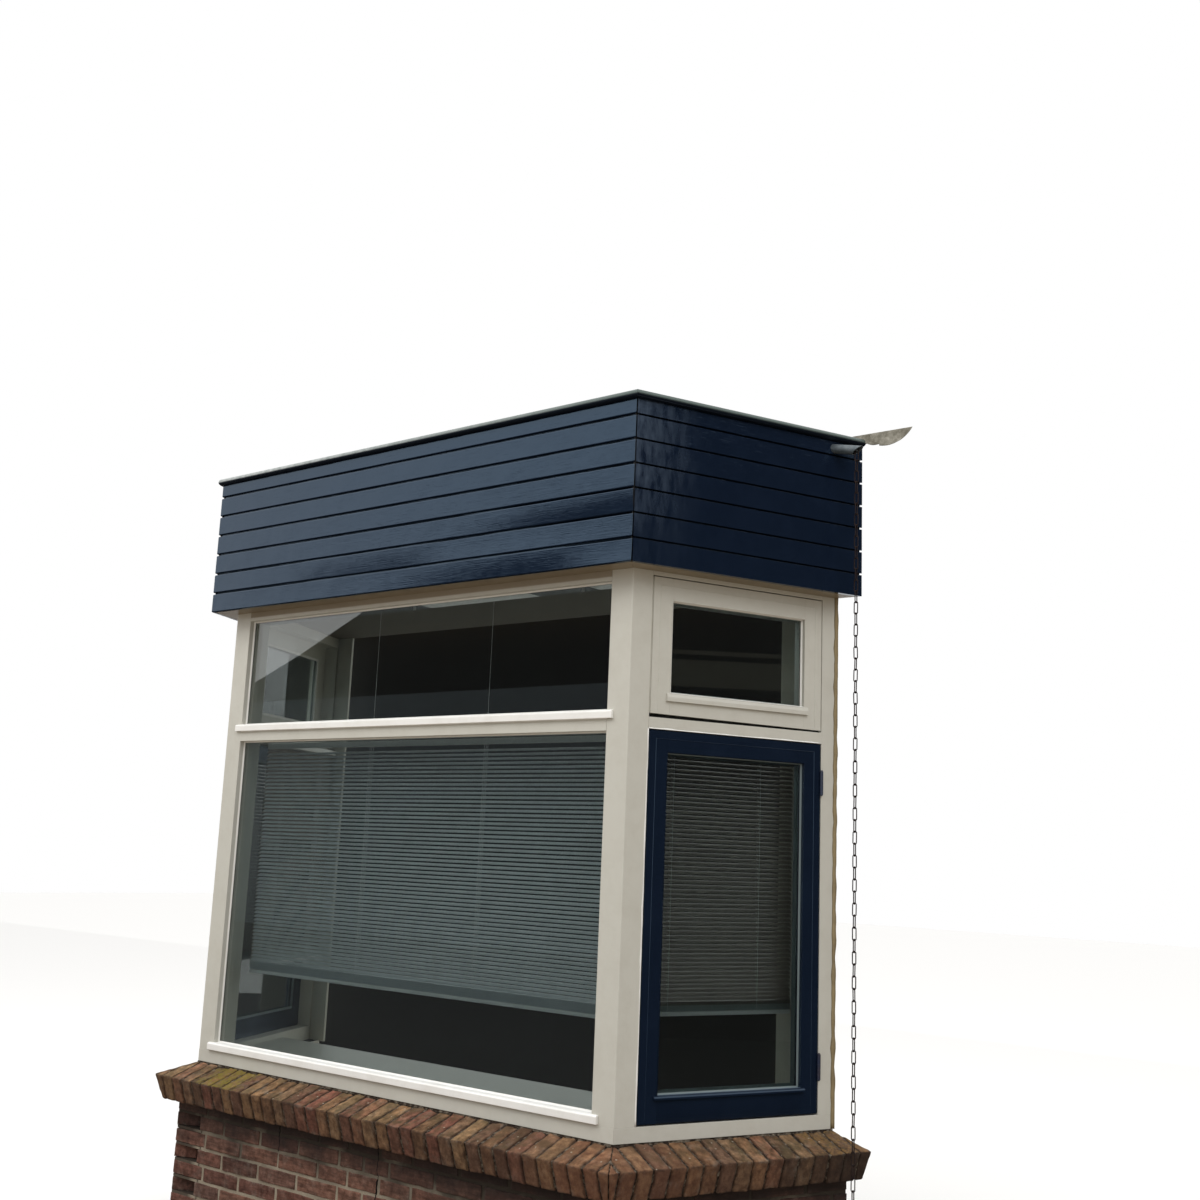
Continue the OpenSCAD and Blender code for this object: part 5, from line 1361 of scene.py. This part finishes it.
line = add(tree, "GeometryNodeSetPosition", {"Geometry": line.outputs[0], "Offset": fade.outputs[0]})
loose = add(tree, "FunctionNodeRandomValue", {"Min": (-0.007, -0.0004, -0.0005),
                                              "Max": (0.009, 0.0004, 0.0005), "Seed": 11},
            data_type="FLOAT_VECTOR")
tilt = add(tree, "ShaderNodeCombineXYZ", {"X": given["Tilt"]})
tilt = add(tree, "ShaderNodeVectorMath", {0: tilt.outputs[0], 1: loose.outputs[0]}, operation="ADD")
tilt = add(tree, "FunctionNodeEulerToRotation", {"Euler": tilt.outputs[0]})
reach = add(tree, "ShaderNodeCombineXYZ", {"X": given["Length"], "Y": 1.0, "Z": 1.0})
slat = add(tree, "GeometryNodeObjectInfo", {"Object": given["Slat"]})
hung = add(tree, "GeometryNodeInstanceOnPoints", {"Points": line.outputs[0],
                                                  "Instance": slat.outputs["Geometry"],
                                                  "Rotation": tilt.outputs[0], "Scale": reach.outputs[0]})
solid = add(tree, "GeometryNodeRealizeInstances", {"Geometry": hung.outputs[0]})
done = add(tree, "GeometryNodeSetMaterial", {"Geometry": solid.outputs[0], "Material": given["Material"]})
add(tree, "NodeGroupOutput", {"Geometry": done.outputs[0]})


def blind(node, face, middle, width, low, high, head, bracket, cord, sag, tilt, paint):
    """One blind: slats by nodes, then its rails, cords and brackets, in its own frame, turned into
    place. Low and high are the ends of the blind, head the top of its head rail and bracket the top of
    its brackets. Cord is the ladder cords' distance from the middle, sag what closing up has taken."""
    stack = low + FOOT_RAIL + STACKED * STACK_PITCH
    count = math.floor((high - RAIL - stack + sag) / SLAT_PITCH)
    slats = mesh_piece(node + "_slats", [(0, 0, 0)], [])
    run_nodes(slats, slat_tree, {"Slat": slat_shape, "Count": count, "Pitch": SLAT_PITCH, "Sag": sag,
                                 "Length": width, "Tilt": math.radians(tilt), "Material": paint})
    slats.data.transform(Matrix.Translation((0, 0, FOOT + stack + SLAT_PITCH / 2)))
    stacked = mesh_piece(node + "_stack", [(0, 0, 0)], [])
    run_nodes(stacked, slat_tree, {"Slat": slat_shape, "Count": STACKED, "Pitch": STACK_PITCH, "Sag": 0.0,
                                   "Length": width, "Tilt": 0.0, "Material": paint})
    stacked.data.transform(Matrix.Translation((0, 0, FOOT + low + FOOT_RAIL + STACK_PITCH / 2)))
    bm = bmesh.new()
    bm.from_mesh(slats.data)
    bm.from_mesh(stacked.data)
    bpy.data.objects.remove(stacked)
    half = SLAT_WIDE / 2
    for z, tall in ((low, FOOT_RAIL), (high - RAIL, RAIL)):
        box_mesh(bm, (-width / 2, -half, FOOT + z), (width / 2, half, FOOT + z + tall), 0.002)
    for x in (-cord, cord):
        for y in (-half, 0, half):
            box_mesh(bm, (x - CORD, y - CORD, FOOT + low + 0.007),
                     (x + CORD, y + CORD, FOOT + (high if y else head) - RAIL / 2), 0)
        box_mesh(bm, (x - 0.010, -0.030, FOOT + head - RAIL), (x + 0.010, 0, FOOT + bracket), 0)
    bm.to_mesh(slats.data)
    bm.free()
    origin, run, out = FACES[face]
    if face == "left":
        slats.data.transform(Matrix.Diagonal((-1, 1, 1, 1)))
        slats.data.flip_normals()
    turn = math.atan2(run.y, run.x) - (math.pi if face == "left" else 0)
    spot = on_face(face, middle, -0.144, 0)
    slats.data.transform(Matrix.Translation(spot) @ Matrix.Rotation(turn, 4, "Z"))
    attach(slats, "root")
    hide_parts(node)


BLIND_INNER = 0.162
COVER_BOARD = 0.012
HEAD = 1.830
SIDE_HEAD = 1.311
END_PLAY = 0.012
front_width = 2 * (face_end(-BLIND_INNER) - END_PLAY)
blind("front_blind", "front", middle=0, width=front_width, low=0.350, high=LOWER_SIGHT[1], head=HEAD,
      bracket=1.850, cord=0.306, sag=0.025, tilt=32, paint=lacquer)

# The front blind's head rail, and a pale rail with two clips in front of it, under the front head.
under_head = FOOT + UPPER_SIGHT[1]
dark_rail = slat_lacquer("dark_rail_lacquer", "#55595a", "#484b4c", "#55595a")


def flat_rail(start, stop):
    """A flat stretch of rail under the front head, as the two corners of its box."""
    return ((start, FRONT_Y + 0.048, under_head - 0.0025), (stop, FRONT_Y + 0.112, under_head + 0.001))


def clip(start):
    """A clip that hangs from the rail, as the two corners of its box."""
    return ((start, FRONT_Y + 0.044, under_head - 0.020),
            (start + 0.012, FRONT_Y + 0.047, under_head + 0.001))


head_rail = ((-front_width / 2, FRONT_Y + 0.135, FOOT + HEAD - RAIL),
             (front_width / 2, FRONT_Y + 0.153, FOOT + HEAD))
for name, paint, boxes in (
        ("front_blind_head_rail", dark_rail, (head_rail, flat_rail(-0.960, 0.010), flat_rail(0.560, 0.825))),
        ("head_rail_clips", white_gloss_and_highlight,
         (flat_rail(0.012, 0.558), flat_rail(0.836, 0.958), clip(-0.020), clip(0.806)))):
    bm = bmesh.new()
    for low, high in boxes:
        box_mesh(bm, low, high, 0.0006)
    piece = mesh_piece(name, [], [], paint)
    bm.to_mesh(piece.data)
    bm.free()
    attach(piece, "root")

first = side_start(-BLIND_INNER) + END_PLAY
last = side_stop(-BLIND_INNER) - 0.004 - COVER_BOARD / math.sin(CANT)
for face in ("right", "left"):
    blind(face + "_blind", face, middle=(first + last) / 2, width=last - first, low=0.364, high=SIDE_HEAD,
          head=SIDE_HEAD, bracket=SIDE_HEAD, cord=0.180, sag=0.026, tilt=43, paint=shaded_lacquer)

for shape in (stretcher, on_edge, link_shape, slat_shape):
    bpy.data.objects.remove(shape)
